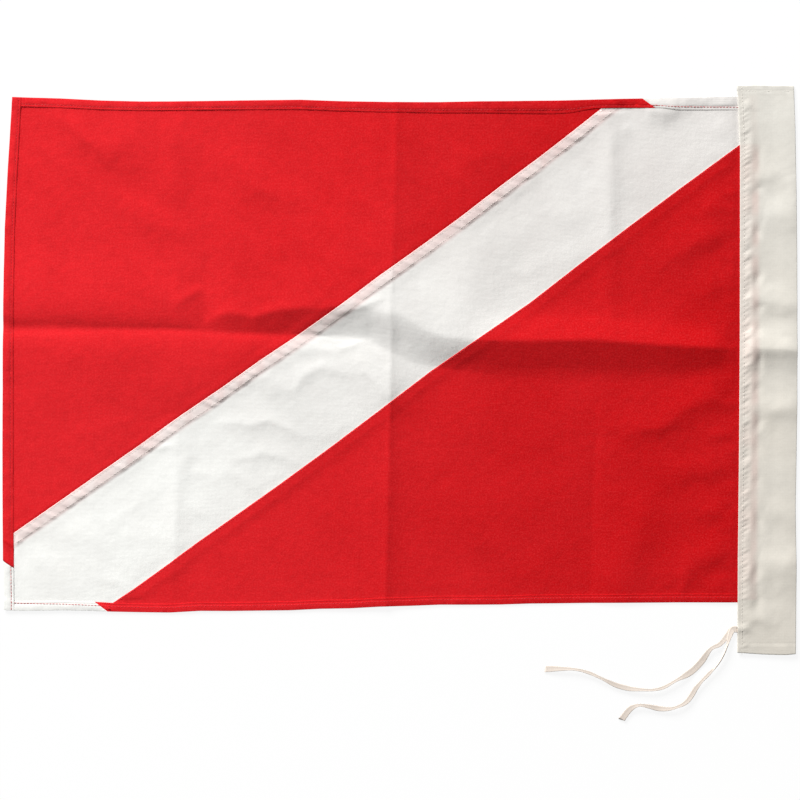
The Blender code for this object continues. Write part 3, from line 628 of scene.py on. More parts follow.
def fly_points(u, v, layers):
    """Places of points of a panel from their places on the cut cloth: turned under at its lapped edge,
    raised over its seams as its layers say, and hemmed on three sides."""
    flag = settings()
    angle = seam_angle()
    lapped = layers.lapped_edge(u, v)
    half = math.pi * TURN_RADIUS
    over = np.clip(lapped, 0, half) / TURN_RADIUS
    inward = np.where(lapped < half, TURN_RADIUS * np.sin(over), half - lapped)
    shift = np.where(lapped > 0, lapped - inward, 0)
    sink = np.where(lapped > 0, TURN_RADIUS * (1 - np.cos(over)), 0)
    u = u + shift * math.sin(angle)
    v = v - shift * math.cos(angle)
    length, run, lift = fold_profile(flag.hem_width, HEM_PUFF)
    beyond_free, beyond_side = np.maximum(-u, 0), np.maximum(np.maximum(v - flag.hoist, -v), 0)
    pressed = 1 - (1 - PRESSED_SHARE) * smooth((u - flag.fly_length + 0.01) / 0.01)
    raised = (layers.rise(from_upper_seam(u, v), along_seam(u, v)) - sink) * pressed
    side_width = np.where(v > flag.hoist / 2, hem_spread(u, TOP_HEM)[0], hem_spread(u, BOTTOM_HEM)[0])
    in_side, up_side = np.interp(beyond_side, length, run) * side_width, np.interp(beyond_side, length, lift)
    side_share = smooth(beyond_side / (math.pi * HEM_FOLD_RADIUS))
    in_free = np.interp(beyond_free, length, run) * hem_spread(v, FREE_HEM)[0]
    up_free = np.interp(beyond_free, length, lift)
    free_share = smooth(beyond_free / (math.pi * HEM_FOLD_RADIUS))
    u_laid = np.where(u < 0, in_free, u)
    v_laid = np.where(v > flag.hoist, flag.hoist - in_side, np.where(v < 0, in_side, v))
    x, y = laid_place(u_laid, v_laid)
    from_fold = np.minimum(np.minimum(u_laid, v_laid), flag.hoist - v_laid)
    flattened = 1 - 0.8 * smooth((flag.hem_width * 1.3 + 0.0022 - from_fold) / 0.002)
    raised = raised * flattened
    under = seam_rise(u_laid, v_laid) * flattened * pressed
    puckers = 1 + 0.22 * ripples(u_laid, v_laid, 0.0085, 31) + 0.12 * ripples(u_laid, v_laid, 0.0031, 33)
    stacked = 2 * HEM_FOLD_RADIUS * smooth(
        (np.maximum(v_laid - flag.hoist, -v_laid) + flag.hem_width + 0.0012) / 0.0009)
    in_hem = smooth((1.2 * flag.hem_width - from_fold) / 0.002) * pressed
    in_hem = in_hem * (1 - 0.7 * smooth((0.03 - v_laid) / 0.015))
    wavy = 0.7 * ripples(u_laid + v_laid, v_laid - u_laid, 0.0085, 35)
    wavy = wavy + 0.4 * ripples(u_laid, v_laid, 0.0045, 36)
    covered = under - layers.tucked(from_upper_seam(u, v))
    z = raised * (1 - 2 * side_share) + covered * side_share
    z += up_side * pressed * np.where(side_share > 0, puckers, 1)
    z = z * (1 - 2 * free_share) + (stacked + covered) * free_share
    z += up_free * np.where(free_share > 0, puckers, 1)
    return x, y, z + 0.0004 * (0.5 + 0.5 * wavy) * in_hem + lay_of_cloth(x, y)


def seam_rise(u, v):
    """How much the diagonal seams raise the front of the fly here."""
    width = settings().stripe_width
    distance, along = from_upper_seam(u, v), along_seam(u, v)
    on_white = smooth((SEAM_STEP - distance) / SEAM_STEP) * smooth((distance + width) / SEAM_STEP)
    on_lower = smooth((SEAM_STEP - distance - width) / SEAM_STEP)
    return WhiteStripe().rise(distance, along) * on_white + LowerRed().rise(distance, along) * on_lower


class Layers:
    """How a panel's layers lie and look at its seams. Plain cloth is neither turned under nor covered."""

    def lapped_edge(self, u, v):
        """How far a place lies past the line where the panel is turned under."""
        return np.full_like(u, -1.0)

    def tucked(self, distance):
        """How far its hem lies lower where another panel's hem covers it."""
        return np.zeros_like(distance)

    def through(self, u, v):
        """How much of the red tongue shows through the cloth over it."""
        return np.zeros_like(u)

    def painted_shading(self, painted_falloff, u, v):
        """The share of its painted-shade colour, for the lamp's light falling off across the fly; panels
        change it beside their seams.
        """
        return painted_falloff


class UpperRed(Layers):
    """The upper red panel: drawn down along the seam, with its tongue under the white panel."""

    def rise(self, distance, along):
        return -0.00013 * bell(distance / 0.0013)

    def painted_shading(self, painted_falloff, u, v):
        """Painted shade: deeper red beside the upper seam's fold, where the cloth is drawn down and the
        corner loses light.
        """
        return painted_falloff + 0.6 * bell(from_upper_seam(u, v) / 0.0012)


class WhiteStripe(Layers):
    """The white panel: a felled band along the upper seam, then over the red tongue."""

    def lapped_edge(self, u, v):
        return from_upper_seam(u, v)

    def tucked(self, distance):
        return 0.00018 * smooth((SEAM_STEP - distance) / SEAM_STEP) * smooth(
            (distance + RED_TONGUE + SEAM_STEP) / SEAM_STEP)

    def rise(self, distance, along):
        inside = np.maximum(-distance, 0)
        slant = along - 0.55 * inside
        bunched = 0.45 * ripples(slant, inside * 0.2, 0.0066, 41)
        bunched = bunched + 0.55 * ripples(slant, inside * 0.2, 0.0036, 43)
        end = settings().upper_band + 0.0007 * ripples(along, 0 * along, 0.010, 44)
        end = end + 0.0005 * ripples(along, 0 * along, 0.0044, 42)
        body = (0.6 + 0.4 * smooth(inside / 0.0040)) * (1 - smooth((inside - end + 0.0022) / 0.0036))
        grooves = bell((inside - UPPER_ROW) / 0.0006) + 0.4 * bell((inside - end + 0.0014) / 0.0009)
        over_tongue = 0.00026 * (1 - smooth((inside - 0.007) / 0.012))
        return over_tongue + (0.00040 + 0.00050 * bunched) * body - 0.00006 * grooves * body

    def through(self, u, v):
        inside, along = -from_upper_seam(u, v), along_seam(u, v)
        band = 0.6 + 0.4 * smooth((inside - 0.0004) / 0.0006)
        band = band * (1 - smooth((inside - settings().upper_band + 0.0004) / 0.0016))
        tongue = 0.24 * (1 - smooth((inside - 0.0085) / 0.0030))
        edge = 0.5 * (1 - smooth((inside - 0.0005) / 0.0009))
        uneven = 0.7 + 0.3 * ripples(along + 0.5 * inside, inside * 0.5, 0.006, 51)
        return np.clip(band * uneven * 0.42 + tongue * smooth(inside / 0.0004) + edge, 0, 1)

    def painted_shading(self, painted_falloff, u, v):
        """Painted highlight: lighter along its two seams, where its folded edges catch the light."""
        inside = -from_upper_seam(u, v)
        upper = 0.7 + 0.3 * smooth((inside - 0.0004) / 0.0008)
        return painted_falloff * upper * smooth((settings().stripe_width - inside - 0.0004) / 0.0006)


class LowerRed(Layers):
    """The lower red panel: lapped over the white tongue in a flatter felled band."""

    def lapped_edge(self, u, v):
        return from_upper_seam(u, v) + settings().stripe_width + HEM_SLIP * smooth(-v / SEAM_STEP)

    def rise(self, distance, along):
        flag = settings()
        inside = np.maximum(-distance - flag.stripe_width, 0)
        bunched = 0.5 + 0.5 * ripples(along, inside * 0.3, 0.009, 47)
        over = LAP_RISE * (1 - smooth((inside - flag.lower_band + 0.001) / 0.008))
        return over + 0.00012 * bunched * smooth(inside / 0.001) * (1 - smooth((inside - 0.006) / 0.004))


# Meshes
def new_object(name, data):
    made = bpy.data.objects.new(name, data)
    bpy.context.scene.collection.objects.link(made)
    return made


def make_plain(piece):
    """Puts what a piece's modifiers make of its mesh in that mesh's place."""
    graph = bpy.context.evaluated_depsgraph_get()
    made = bpy.data.meshes.new_from_object(piece.evaluated_get(graph))
    piece.modifiers.clear()
    before, piece.data = piece.data, made
    bpy.data.meshes.remove(before)
    return made


def add_piece(name, mesh, material):
    """A piece from its mesh, smooth and with its finish."""
    piece = new_object(name, mesh)
    mesh.materials.append(material)
    mesh.polygons.foreach_set("use_smooth", [True] * len(mesh.polygons))
    mesh.update()
    return piece


def vertex_array(mesh):
    places = np.empty(len(mesh.vertices) * 3)
    mesh.vertices.foreach_get("co", places)
    return places.reshape(-1, 3)


def set_cloth_map(mesh, u, v):
    """The cloth's own map, in metres along its threads, from a corner outside the cut."""
    layer = mesh.uv_layers.new(name="threads")
    corners = np.empty(len(mesh.loops), dtype=int)
    mesh.loops.foreach_get("vertex_index", corners)
    layer.data.foreach_set("uv", np.stack([u[corners] + 0.05, v[corners] + 0.05], axis=1).ravel())


def set_shares(mesh, name, shares):
    """Shares from 0 to 1 at the mesh's points, which a finish reads by this name."""
    layer = mesh.attributes.new(name, "FLOAT", "POINT")
    layer.data.foreach_set("value", np.asarray(shares, dtype=float))


def thicken(piece, thickness):
    """Gives a sheet its thickness, half to each side, as a plain mesh."""
    wall = piece.modifiers.new("cloth thickness", "SOLIDIFY")
    wall.thickness = thickness
    wall.offset = 0
    wall.use_rim = True
    solid = make_plain(piece)
    solid.polygons.foreach_set("use_smooth", [True] * len(solid.polygons))
    return piece


def grid_mesh(name, points, rows, flipped=False):
    """A sheet of quads through points that come in columns of this many rows."""
    corner = (np.arange(len(points) // rows - 1)[:, None] * rows + np.arange(rows - 1)[None, :]).ravel()
    faces = np.stack([corner, corner + rows, corner + rows + 1, corner + 1], axis=1)
    mesh = bpy.data.meshes.new(name)
    mesh.from_pydata(points.tolist(), [], faces[:, [0, 3, 2, 1] if flipped else [0, 1, 2, 3]].tolist())
    return mesh


def steps_between(start, end, step):
    """Even places from start to just before end, about this step apart."""
    count = max(1, round((end - start) / step))
    return [start + (end - start) * i / count for i in range(count)]


def cut_sheet(hem_sides):
    """A grid of the fly with its hem and seam allowances, finer where the cloth is folded."""
    flag = settings()
    length, _, _ = fold_profile(flag.hem_width, 0.0)
    inner = [h for h in length if h > 0]
    folded = inner[FOLD_STEPS - 1]
    extra = list(np.linspace(folded + 0.0004, folded + flag.hem_width, 9))
    allowance = sorted(set(np.round(inner + extra, 6)))
    bend, sewn_in = flag.fly_length - BEND_REACH, flag.fly_length + FLY_INSET
    u_lines = [-h for h in reversed(allowance)] + steps_between(0, bend, flag.cloth_step)
    u_lines += steps_between(bend, flag.fly_length, BEND_STEP)
    u_lines += steps_between(flag.fly_length, sewn_in, INSET_STEP) + [sewn_in]
    v_lines = [-h for h in reversed(allowance)] + steps_between(0, flag.hoist, flag.cloth_step) + [flag.hoist]
    v_lines += [flag.hoist + h for h in allowance]
    u_lines = [u for u in u_lines if "free" in hem_sides or u >= 0]
    v_lines = [v for v in v_lines if ("top" in hem_sides or v <= flag.hoist + 1e-9)
               and ("bottom" in hem_sides or v >= 0)]
    u_grid, v_grid = np.meshgrid(u_lines, v_lines, indexing="ij")
    points = np.stack([u_grid.ravel(), v_grid.ravel(), np.zeros(u_grid.size)], axis=1)
    return grid_mesh("cut", points, len(v_lines))


def fly_panel(name, layers, keep_above, keep_below, lines, hem_sides, finish, trimmed=None):
    """Cuts a panel out of the sheet along the seam lines, lays it out and gives it its thickness.
    keep_above and keep_below are the distances from the upper seam between which it is kept, and in the
    bottom hem nothing is kept beyond trimmed."""
    flag = settings()
    angle = seam_angle()
    normal = Vector((-math.sin(angle), math.cos(angle), 0))
    mesh = cut_sheet(hem_sides)
    cut = bmesh.new()
    cut.from_mesh(mesh)

    def line(distance, **drop):
        bmesh.ops.bisect_plane(
            cut, geom=cut.verts[:] + cut.edges[:] + cut.faces[:], dist=1e-6,
            plane_co=Vector((0, flag.stripe_start, 0)) + normal * distance, plane_no=normal, **drop)

    if keep_above is not None:
        line(keep_above, clear_inner=True)
    if keep_below is not None:
        line(keep_below, clear_outer=True)
    for distance in lines:
        line(distance)
    bmesh.ops.remove_doubles(cut, verts=cut.verts[:], dist=MERGED)
    if trimmed is not None:
        middles = [(face, face.calc_center_median()) for face in cut.faces]
        drop = [face for face, at in middles if at.y < 0 and from_upper_seam(at.x, at.y) < trimmed]
        bmesh.ops.delete(cut, geom=drop, context="FACES")
    bmesh.ops.triangulate(cut, faces=[face for face in cut.faces if len(face.verts) > 4])
    cut.to_mesh(mesh)
    cut.free()
    places = vertex_array(mesh)
    u, v = places[:, 0].copy(), places[:, 1].copy()
    x, y, z = fly_points(u, v, layers)
    mesh.vertices.foreach_set("co", in_frame(x, y, z).ravel())
    mesh.update()
    set_cloth_map(mesh, u, v)
    set_shares(mesh, "through", layers.through(u, v))
    # Painted shade: the share of each panel's darker colour, rising towards the sleeve where the lamp's light
    # falls off, with painted seam shade and highlight
    set_shares(mesh, "painted_falloff", np.clip(layers.painted_shading(painted_falloff_share(x, y), u, v), 0, 1))
    mesh.name = name
    return thicken(add_piece(name, mesh, finish), flag.cloth_thickness)


def painted_falloff_share(x, y):
    """Painted shade: the share of the darker colour, rising from the free side to the sleeve side as the
    lamp's light falls off, with some tone that differs at random.
    """
    return np.clip(smooth(view_px(x) / 760) * 0.9 + 0.1 * ripples(x, y, 0.05, 61), 0, 1)


# Pole sleeve
def sleeve_edges(y):
    """Where the sleeve's stitched edge and its fold run, at each height y."""
    py = view_py(y)
    return [(from_table(py, edge) - VIEW_SEAM_PX) * VIEW_PIXEL for edge in (SLEEVE_LEFT, SLEEVE_RIGHT)]


def sleeve_front(x, y):
    """Height of the sleeve's front wall over the surface, away from its ends."""
    flag = settings()
    left, right = sleeve_edges(y)
    at = (x - left) / MM
    fly_beside = smooth((y + 0.006) / 0.010) * (1 - smooth((y - flag.hoist) / 0.003))
    steps = np.arange(-6.0, 52.0, 0.25)
    kernel = bell(np.arange(-12, 13) * 0.25 / 1.6)
    knots = from_table(steps, SLEEVE_PROFILE)
    profile = np.convolve(np.pad(knots, 12, mode="edge"), kernel / kernel.sum(), mode="valid")
    across = at * SLEEVE_PROFILE[-1][0] * MM / (right - left)
    plain = from_table(across, PLAIN_PROFILE)
    height = plain + (np.interp(across, steps, profile) - plain) * (0.25 + 0.75 * fly_beside)
    wx, wy = x + 0.0012 * ripples(x, y, 0.008, 76), y + 0.0016 * ripples(x, y, 0.009, 77)
    warped_py, warped_at = view_py(wy), (wx - left) / MM
    dent = np.zeros_like(y)
    for middle, reach, depth in PUCKERS:
        dent = np.maximum(dent, depth * np.exp(-np.abs((warped_py - middle) / reach) ** 1.6))
    height = height - 0.55 * dent * bell((warped_at - 14.6) / 3.0)
    height = height + 0.36 * dent * bell((warped_at - 9.0) / 2.4)
    crimp = 0.42 * bell((at - 5.8) / 3.2) * ripples(x * 0.5, y - 0.5 * x, 0.0046, 73)
    tucked = 0.6 + 0.4 * ripples(x * 0.3, y, 0.009, 74)
    pleat = np.abs(np.sin(math.pi * wy / (1.75 * flag.stitch_pitch) - wx / 0.0024)) ** 0.5 - 0.6
    tucks = 0.52 * tucked * bell((at - 4.4) / 3.0) * pleat
    height = height + (crimp + tucks) * (0.3 + 0.7 * fly_beside)
    height = height + 0.10 * ripples(y, y * 0, 0.0105, 71) - 0.07 * bell((at - SLEEVE_ROW_MM) / 0.7)
    height = height + 0.2 * (1 + ripples(x, y, 0.03, 75)) * smooth((at - 8) / 8)
    height = height + 0.03 * ripples(x, y, 0.006, 79)
    folds = fold_height(wx, wy, SLEEVE_FOLDS) * smooth((at + 1) / 11)
    tie = bell((y - TIE_EXIT[1]) / 0.0032) * bell((at - 3) / 6)
    return height * MM + 1.2 * folds + 0.0006 * tie


def sleeve_top():
    return settings().hoist + SLEEVE_BEYOND


def sleeve_wall(x, y):
    """Height of that wall, brought down to flat at the sleeve's sewn top end."""
    return SLEEVE_FLAT + (sleeve_front(x, y) - SLEEVE_FLAT) * smooth((sleeve_top() - y) / 0.026)


def end_rise(x, above):
    """How much higher the sleeve's cloth lies than in a straight bottom end, this far above the end."""
    return from_table(view_px(x), SLEEVE_END_RISE) * VIEW_PIXEL * (1 - smooth(above / 0.03))


def sleeve_section(y):
    """Points of the sleeve's strip across its run at each height y: from its turned edge over the front
    wall, round the fold and along the back wall to the other turned edge."""
    left, right = sleeve_edges(y)
    columns = []

    def put(x, z, over):
        columns.append((x, z, over * np.ones_like(y)))

    for inset in (5.0, 2.5, 0.5):
        put(left + inset * MM, sleeve_wall(left + inset * MM, y) - SLEEVE_TURN, inset - 6)
    put(left + 0.08 * MM, sleeve_wall(left, y) - 0.8 * SLEEVE_TURN, -5.0)
    put(left - 0.05 * MM, sleeve_wall(left, y) - 0.45 * SLEEVE_TURN, -4.8)
    edge = right - SLEEVE_FOLD_REACH
    for share in [0, 0.005] + list(np.linspace(0, 1, SLEEVE_COLUMNS)[1:-1] ** 1.15) + [0.995, 1]:
        x = left + (edge - left) * share
        put(x, sleeve_wall(x, y), (x - left) / MM)
    top, bottom = sleeve_wall(edge, y), SLEEVE_BACK + 0 * y
    middle = bottom + (top - bottom) * 0.42
    for i in range(1, 8):
        angle = math.pi * (0.5 - i / 8)
        half = np.where(angle > 0, top - middle, middle - bottom)
        x = edge + SLEEVE_FOLD_REACH * max(0.0, math.cos(angle)) ** 0.72
        put(x, middle + half * math.sin(angle), (x - left) / MM + 4)
    for share in np.linspace(1, 0, 10):
        x = left + (edge - left) * share
        put(x, bottom, 100 - (x - left) / MM)
    put(left - 0.05 * MM, bottom + 0.25 * SLEEVE_TURN, 105)
    put(left + 0.08 * MM, bottom + 0.7 * SLEEVE_TURN, 105.5)
    for inset in (0.5, 2.5, 5.0):
        put(left + inset * MM, bottom + SLEEVE_TURN, 106 + inset)
    return columns


def sleeve_mesh():
    """The folded strip, with its ends turned in."""
    flag = settings()
    bottom, top = -SLEEVE_BELOW_FLY, sleeve_top()
    low, high = bottom + SLEEVE_END_LENGTH, top - SLEEVE_END_LENGTH
    y = np.array([bottom] + steps_between(bottom + 0.0002, low, SLEEVE_END_STEP)[:-1]
                 + steps_between(low, high, SLEEVE_STEP)[:-1]
                 + steps_between(high, top - 0.0002, SLEEVE_END_STEP) + [top])
    x_grid, z_grid, over = (np.stack(part, axis=1) for part in zip(*sleeve_section(y)))
    count = x_grid.shape[1]
    y_grid = np.repeat(y[:, None], count, axis=1)
    top_wave = 0.0004 * ripples(x_grid, 0 * x_grid, 0.007, 83) * smooth((y_grid - top + 0.008) / 0.008)
    y_grid = y_grid + top_wave + end_rise(x_grid, y_grid - bottom)
    in_front = (over > -4.9) & (over < 60)
    thick = smooth((bottom + 0.0098 - y_grid) / 0.0045)
    wave = 0.5 + 0.5 * ripples(x_grid + 0.5 * y_grid, y_grid * 0.5, 0.0048, 81)
    hem_mark = bell((y_grid - bottom - SLEEVE_HEM) / 0.0009)
    gathered = bell((top - 0.0030 - y_grid) / 0.0034)
    gathered = gathered * ripples(x_grid + 0.6 * y_grid, y_grid * 0.3, 0.0036, 84)
    top_mark = bell((top - SLEEVE_TOP_ROW - y_grid) / 0.0009)
    relief = 0.00024 * thick * wave - 0.00006 * hem_mark + 0.00022 * gathered - 0.00007 * top_mark
    z_grid = z_grid + np.where(in_front, relief, 0)

    def turned_in(row, back, sunk, drawn=0.0):
        """A row of the turned end, inside the walls that end at this row and drawn in at the fold."""
        walls = (over[row] > -0.5) & (over[row] < 101)
        inwards = -sunk * MM * np.clip((z_grid[row] - 1.1 * MM) / (0.5 * MM), -1, 1) * walls
        at_fold = (over[row] > 30) & (over[row] < 60)
        return x_grid[row] - drawn * at_fold, y_grid[row] + back, z_grid[row] + inwards, over[row]

    parts = [turned_in(0, back, sunk, 0.0004)
             for back, sunk in ((0.0078, 0.55), (0.0045, 0.55), (0.0018, 0.5), (0.0004, 0.3))]
    parts.append((x_grid, y_grid, z_grid, over))
    parts += [turned_in(-1, -back, sunk) for back, sunk in ((0.0004, 0.25), (0.002, 0.48), (0.0045, 0.5))]
    xs, ys, zs, at = (np.vstack(part).ravel() for part in zip(*parts))
    mesh = grid_mesh("pole_sleeve_canvas", in_frame(xs, ys, zs), count, flipped=True)
    set_cloth_map(mesh, at * MM, ys)
    beside = smooth((ys - 0.001) / 0.002) * (1 - smooth((ys - flag.hoist) / 0.002))
    red_beside = 1 - 0.8 * smooth((ys - (flag.hoist - flag.stripe_top_drop)) / 0.002)
    band = (0.55 * smooth(at / 1.0) + 0.45 * smooth((at - 8.0) / 2.0)) * (1 - smooth((at - 12.0) / 4.0))
    uneven = 0.65 + 0.35 * ripples(xs, ys, 0.008, 85)
    down = smooth((flag.hoist - ys) / 0.3)
    set_shares(mesh, "through", np.clip(band * beside * red_beside * uneven * 0.8, 0, 1))
    # Painted shade: darker towards the sleeve's bottom, with tone that differs at random
    set_shares(mesh, "painted_falloff", np.clip(0.25 + 0.6 * down + 0.15 * ripples(xs, ys, 0.04, 86), 0, 1))
    return mesh


# Tie tape
def run_lengths(points):
    """Length along a line of points, up to each of them."""
    return np.concatenate([[0], np.cumsum(np.linalg.norm(np.diff(points, axis=0), axis=1))])


def smooth_route(points, step):
    """Points close together along a smooth curve through the given ones."""
    known = np.array(points, dtype=float)
    padded = np.vstack([2 * known[0] - known[1], known, 2 * known[-1] - known[-2]])
    fine = []
    for i in range(len(known) - 1):
        a, b, c, d = padded[i:i + 4]
        for t in np.linspace(0, 1, 12, endpoint=False):
            fine.append(0.5 * (2 * b + (c - a) * t + (2 * a - 5 * b + 4 * c - d) * t ** 2
                               + (3 * b - a - 3 * c + d) * t ** 3))
    fine.append(known[-1])
    fine = np.array(fine)
    runs = run_lengths(fine[:, :2])
    count = max(2, round(runs[-1] / step))
    at = np.linspace(0, runs[-1], count + 1)
    return np.stack([np.interp(at, runs, fine[:, k]) for k in range(fine.shape[1])], axis=1)


def tape_mesh(name, centres, turns, cut_skew):
    """A flat woven tape along its centres, turned about its run, with thicker selvages and a skew cut end."""
    flag = settings()
    eased_turns = np.sign(turns) * from_table(np.abs(turns), TAPE_EASE)
    narrowed = np.cos(np.radians(turns)) / np.maximum(np.cos(np.radians(eased_turns)), 0.1)
    half = narrowed * flag.tape_width / 2
    thin = np.minimum(narrowed ** -0.8, 2.2) * flag.tape_thickness / 2
    runs = np.gradient(centres, axis=0)
    runs /= np.linalg.norm(runs, axis=1)[:, None]
    side = np.cross(np.array([0, 0, 1.0])[None, :], runs)
    side /= np.linalg.norm(side, axis=1)[:, None]
    up = np.cross(runs, side)
    angle = np.radians(eased_turns)[:, None]
    across = (side * np.cos(angle) + up * np.sin(angle)) * half[:, None]
    off = (up * np.cos(angle) - side * np.sin(angle)) * thin[:, None]
    a, b = np.array(TAPE_OUTLINE).T
    size = len(a)
    points = centres[:, None] + across[:, None] * a[:, None] + off[:, None] * b[:, None]
    points[-1] += runs[-1] * cut_skew * a[:, None]
    corner = np.arange((len(centres) - 1) * size).reshape(-1, size)
    beside = np.roll(corner, -1, axis=1)
    faces = np.stack([corner, beside, beside + size, corner + size], axis=-1).reshape(-1, 4).tolist()
    faces += [list(range(size)), (corner[-1] + size)[::-1].tolist()]
    mesh = bpy.data.meshes.new(name)
    mesh.from_pydata(points.reshape(-1, 3).tolist(), [], faces)
    shape = bmesh.new()
    shape.from_mesh(mesh)
    bmesh.ops.recalc_face_normals(shape, faces=shape.faces[:])
    shape.to_mesh(mesh)
    shape.free()
    back = np.where(b < 0, 0.01, 0.0)
    across_map = np.tile(a * flag.tape_width / 2 + back, len(centres))
    set_cloth_map(mesh, across_map, np.repeat(run_lengths(centres), size))
    return mesh


def folded_tape_mesh(name, line):
    """The tape's doubled end: a strip that follows this line seen from its side."""
    flag = settings()
    shares = np.array([-1, -0.5, 0, 0.5, 1]) * flag.tape_width / 2
    points = (line[:, None, :] + shares[None, :, None] * np.array([0, 1, 0])).reshape(-1, 3)
    mesh = grid_mesh(name, points, len(shares))
    set_cloth_map(mesh, np.tile(shares, len(line)), np.repeat(run_lengths(line), len(shares)))
    shape = new_object(name + "_shape", mesh)
    solid = thicken(shape, flag.tape_thickness * 0.8).data
    bpy.data.objects.remove(shape)
    solid.name = name
    return solid


def tail_centres(route, start_height):
    """Centres and turns of a tail of the tie: out of the seam, down to the surface and along it."""
    flag = settings()
    laid = smooth_route(route, TAPE_STEP)
    run = run_lengths(laid[:, :2])
    lie = TAPE_REST + np.abs(np.sin(np.radians(laid[:, 2]))) * flag.tape_width * 0.47
    down = smooth(run / 0.014)
    z = np.maximum(start_height * (1 - down) + lie * down, lie)
    return in_frame(laid[:, 0], laid[:, 1], z), laid[:, 2]


# Finishes
def add_node(tree, kind, values=None, links=None, **options):
    """Adds a node with its options, its input values and the links into its inputs, each from a socket or
    from a node's first output."""
    node = tree.nodes.new(kind)
    for name, value in options.items():
        setattr(node, name, value)
    for name, value in (values or {}).items():
        node.inputs[name].default_value = value
    for name, source in (links or {}).items():
        if isinstance(source, bpy.types.Node):
            source = source.outputs[0]
        tree.links.new(source, node.inputs[name])
    return node


def new_finish(name):
    material = bpy.data.materials.new(name)
    material.use_nodes = True
    material.node_tree.nodes.clear()
    return material, material.node_tree


def thread_weave(tree, spacing):
    """Height of a plain weave on the cloth's own map, with this thread spacing in metres."""
    cloth_map = add_node(tree, "ShaderNodeUVMap", uv_map="threads")
    wave = {"Scale": math.pi / (10 * 2 * spacing), "Distortion": 0.6, "Detail": 1.0, "Detail Scale": 0.02}
    warp, weft = (add_node(tree, "ShaderNodeTexWave", wave, {"Vector": cloth_map.outputs["UV"]},
                           bands_direction=direction) for direction in "XY")
    crossed = add_node(tree, "ShaderNodeMath", links={0: warp.outputs["Fac"], 1: weft.outputs["Fac"]},
                       operation="MULTIPLY")
    return cloth_map, crossed


def woven_finish(name, light, deep, painted_highlight, through, spacing, weave_share, rough, bump, grain, crumple_darkening):
    """A woven cloth: a light colour and a darker one mixed in as painted shade where the lamp's light falls
    off, mottled and speckled, painted highlights on its thread tops, crumples darkened partly as painted
    shade, a tint where other cloth shows through, and its weave."""
    material, tree = new_finish(name)
    cloth_map, weave = thread_weave(tree, spacing)
    mottle, crumple, slubs = (
        add_node(tree, "ShaderNodeTexNoise", {"Scale": scale, "Detail": detail, "Roughness": coarse},
                 {"Vector": cloth_map.outputs["UV"]})
        for scale, detail, coarse in ((38.0, 4.0, 0.6), (170.0, 3.0, 0.55), (800.0, 2.0, 0.7)))
    painted_falloff = add_node(tree, "ShaderNodeAttribute", attribute_name="painted_falloff")
    uneven = add_node(tree, "ShaderNodeMath", {1: 0.35, 2: -0.175}, {0: mottle.outputs["Fac"]},
                      operation="MULTIPLY_ADD")
    share = add_node(tree, "ShaderNodeMath", links={0: painted_falloff.outputs["Fac"], 1: uneven},
                     operation="ADD", use_clamp=True)
    # Painted shade: the darker colour mixed in by the painted falloff share
    base_colour = add_node(tree, "ShaderNodeMix", {"A": opaque(light), "B": opaque(deep)},
                    {"Factor": share}, data_type="RGBA")
    seen = add_node(tree, "ShaderNodeAttribute", attribute_name="through")
    tinted = add_node(tree, "ShaderNodeMix", {"B": opaque(through)},
                      {"Factor": seen.outputs["Fac"], "A": base_colour.outputs["Result"]}, data_type="RGBA")
    # Painted highlight: thread tops lightened where the slubs are high; for the white and the canvas the
    # lighter colour is their own
    top = add_node(tree, "ShaderNodeMapRange",
                   {"From Min": 0.45, "From Max": 0.75, "To Min": 0.0, "To Max": grain},
                   {"Value": slubs.outputs["Fac"]})
    lit = add_node(tree, "ShaderNodeMix", {"B": opaque(painted_highlight)},
                   {"Factor": top, "A": tinted.outputs["Result"]}, data_type="RGBA")
    # Darker crumples: partly tone that differs at random, partly painted shade of the crumples that the bump
    # also draws
    speck, crumple_tone_and_shade, gap = (
        add_node(tree, "ShaderNodeMapRange",
                 {"From Min": low, "From Max": high, "To Min": 1 - loss, "To Max": 1.0}, {"Value": source})
        for low, high, loss, source in ((0.25, 0.6, grain, slubs.outputs["Fac"]),
                                        (0.3, 0.7, crumple_darkening, crumple.outputs["Fac"]),
                                        (0.0, 0.5, weave_share, weave)))
    fine = add_node(tree, "ShaderNodeMath", links={0: speck, 1: gap},
                    operation="MULTIPLY")
    depth = add_node(tree, "ShaderNodeMath", links={0: fine, 1: crumple_tone_and_shade},
                     operation="MULTIPLY")
    shown = add_node(tree, "ShaderNodeVectorMath",
                     links={0: lit.outputs["Result"], "Scale": depth}, operation="SCALE")
    relief = add_node(tree, "ShaderNodeMath", {1: 0.5}, {0: slubs.outputs["Fac"], 2: weave},
                      operation="MULTIPLY_ADD")
    rumpled = add_node(tree, "ShaderNodeMath", {1: 6.0}, {0: crumple.outputs["Fac"], 2: relief},
                       operation="MULTIPLY_ADD")
    bumped = add_node(tree, "ShaderNodeBump", {"Strength": bump, "Distance": 0.0001},
                      {"Height": rumpled})
    shader = add_node(tree, "ShaderNodeBsdfPrincipled",
                      {"Roughness": rough, "Sheen Weight": 0.01, "Sheen Roughness": 0.4,
                       "Specular IOR Level": 0.06},
                      {"Base Color": shown, "Normal": bumped.outputs["Normal"]})
    add_node(tree, "ShaderNodeOutputMaterial", links={"Surface": shader})
    return material


def red_nylon():
    # Plain-woven nylon, dyed in the piece: even deep red, soft sheen at a low angle, threads too fine to see
    # from afar, so its 0.25 mm spacing is drawn at 0.5 mm
    # Its thread tops get a painted highlight, and the red towards the sleeve a painted shade
    dye = colours()
    return woven_finish("woven red nylon", dye.red, dye.red_painted_shade, dye.red_painted_highlight, dye.red_painted_shade,
                        spacing=0.0005, weave_share=0.04, rough=0.9, bump=0.3, grain=0.11, crumple_darkening=0.09)


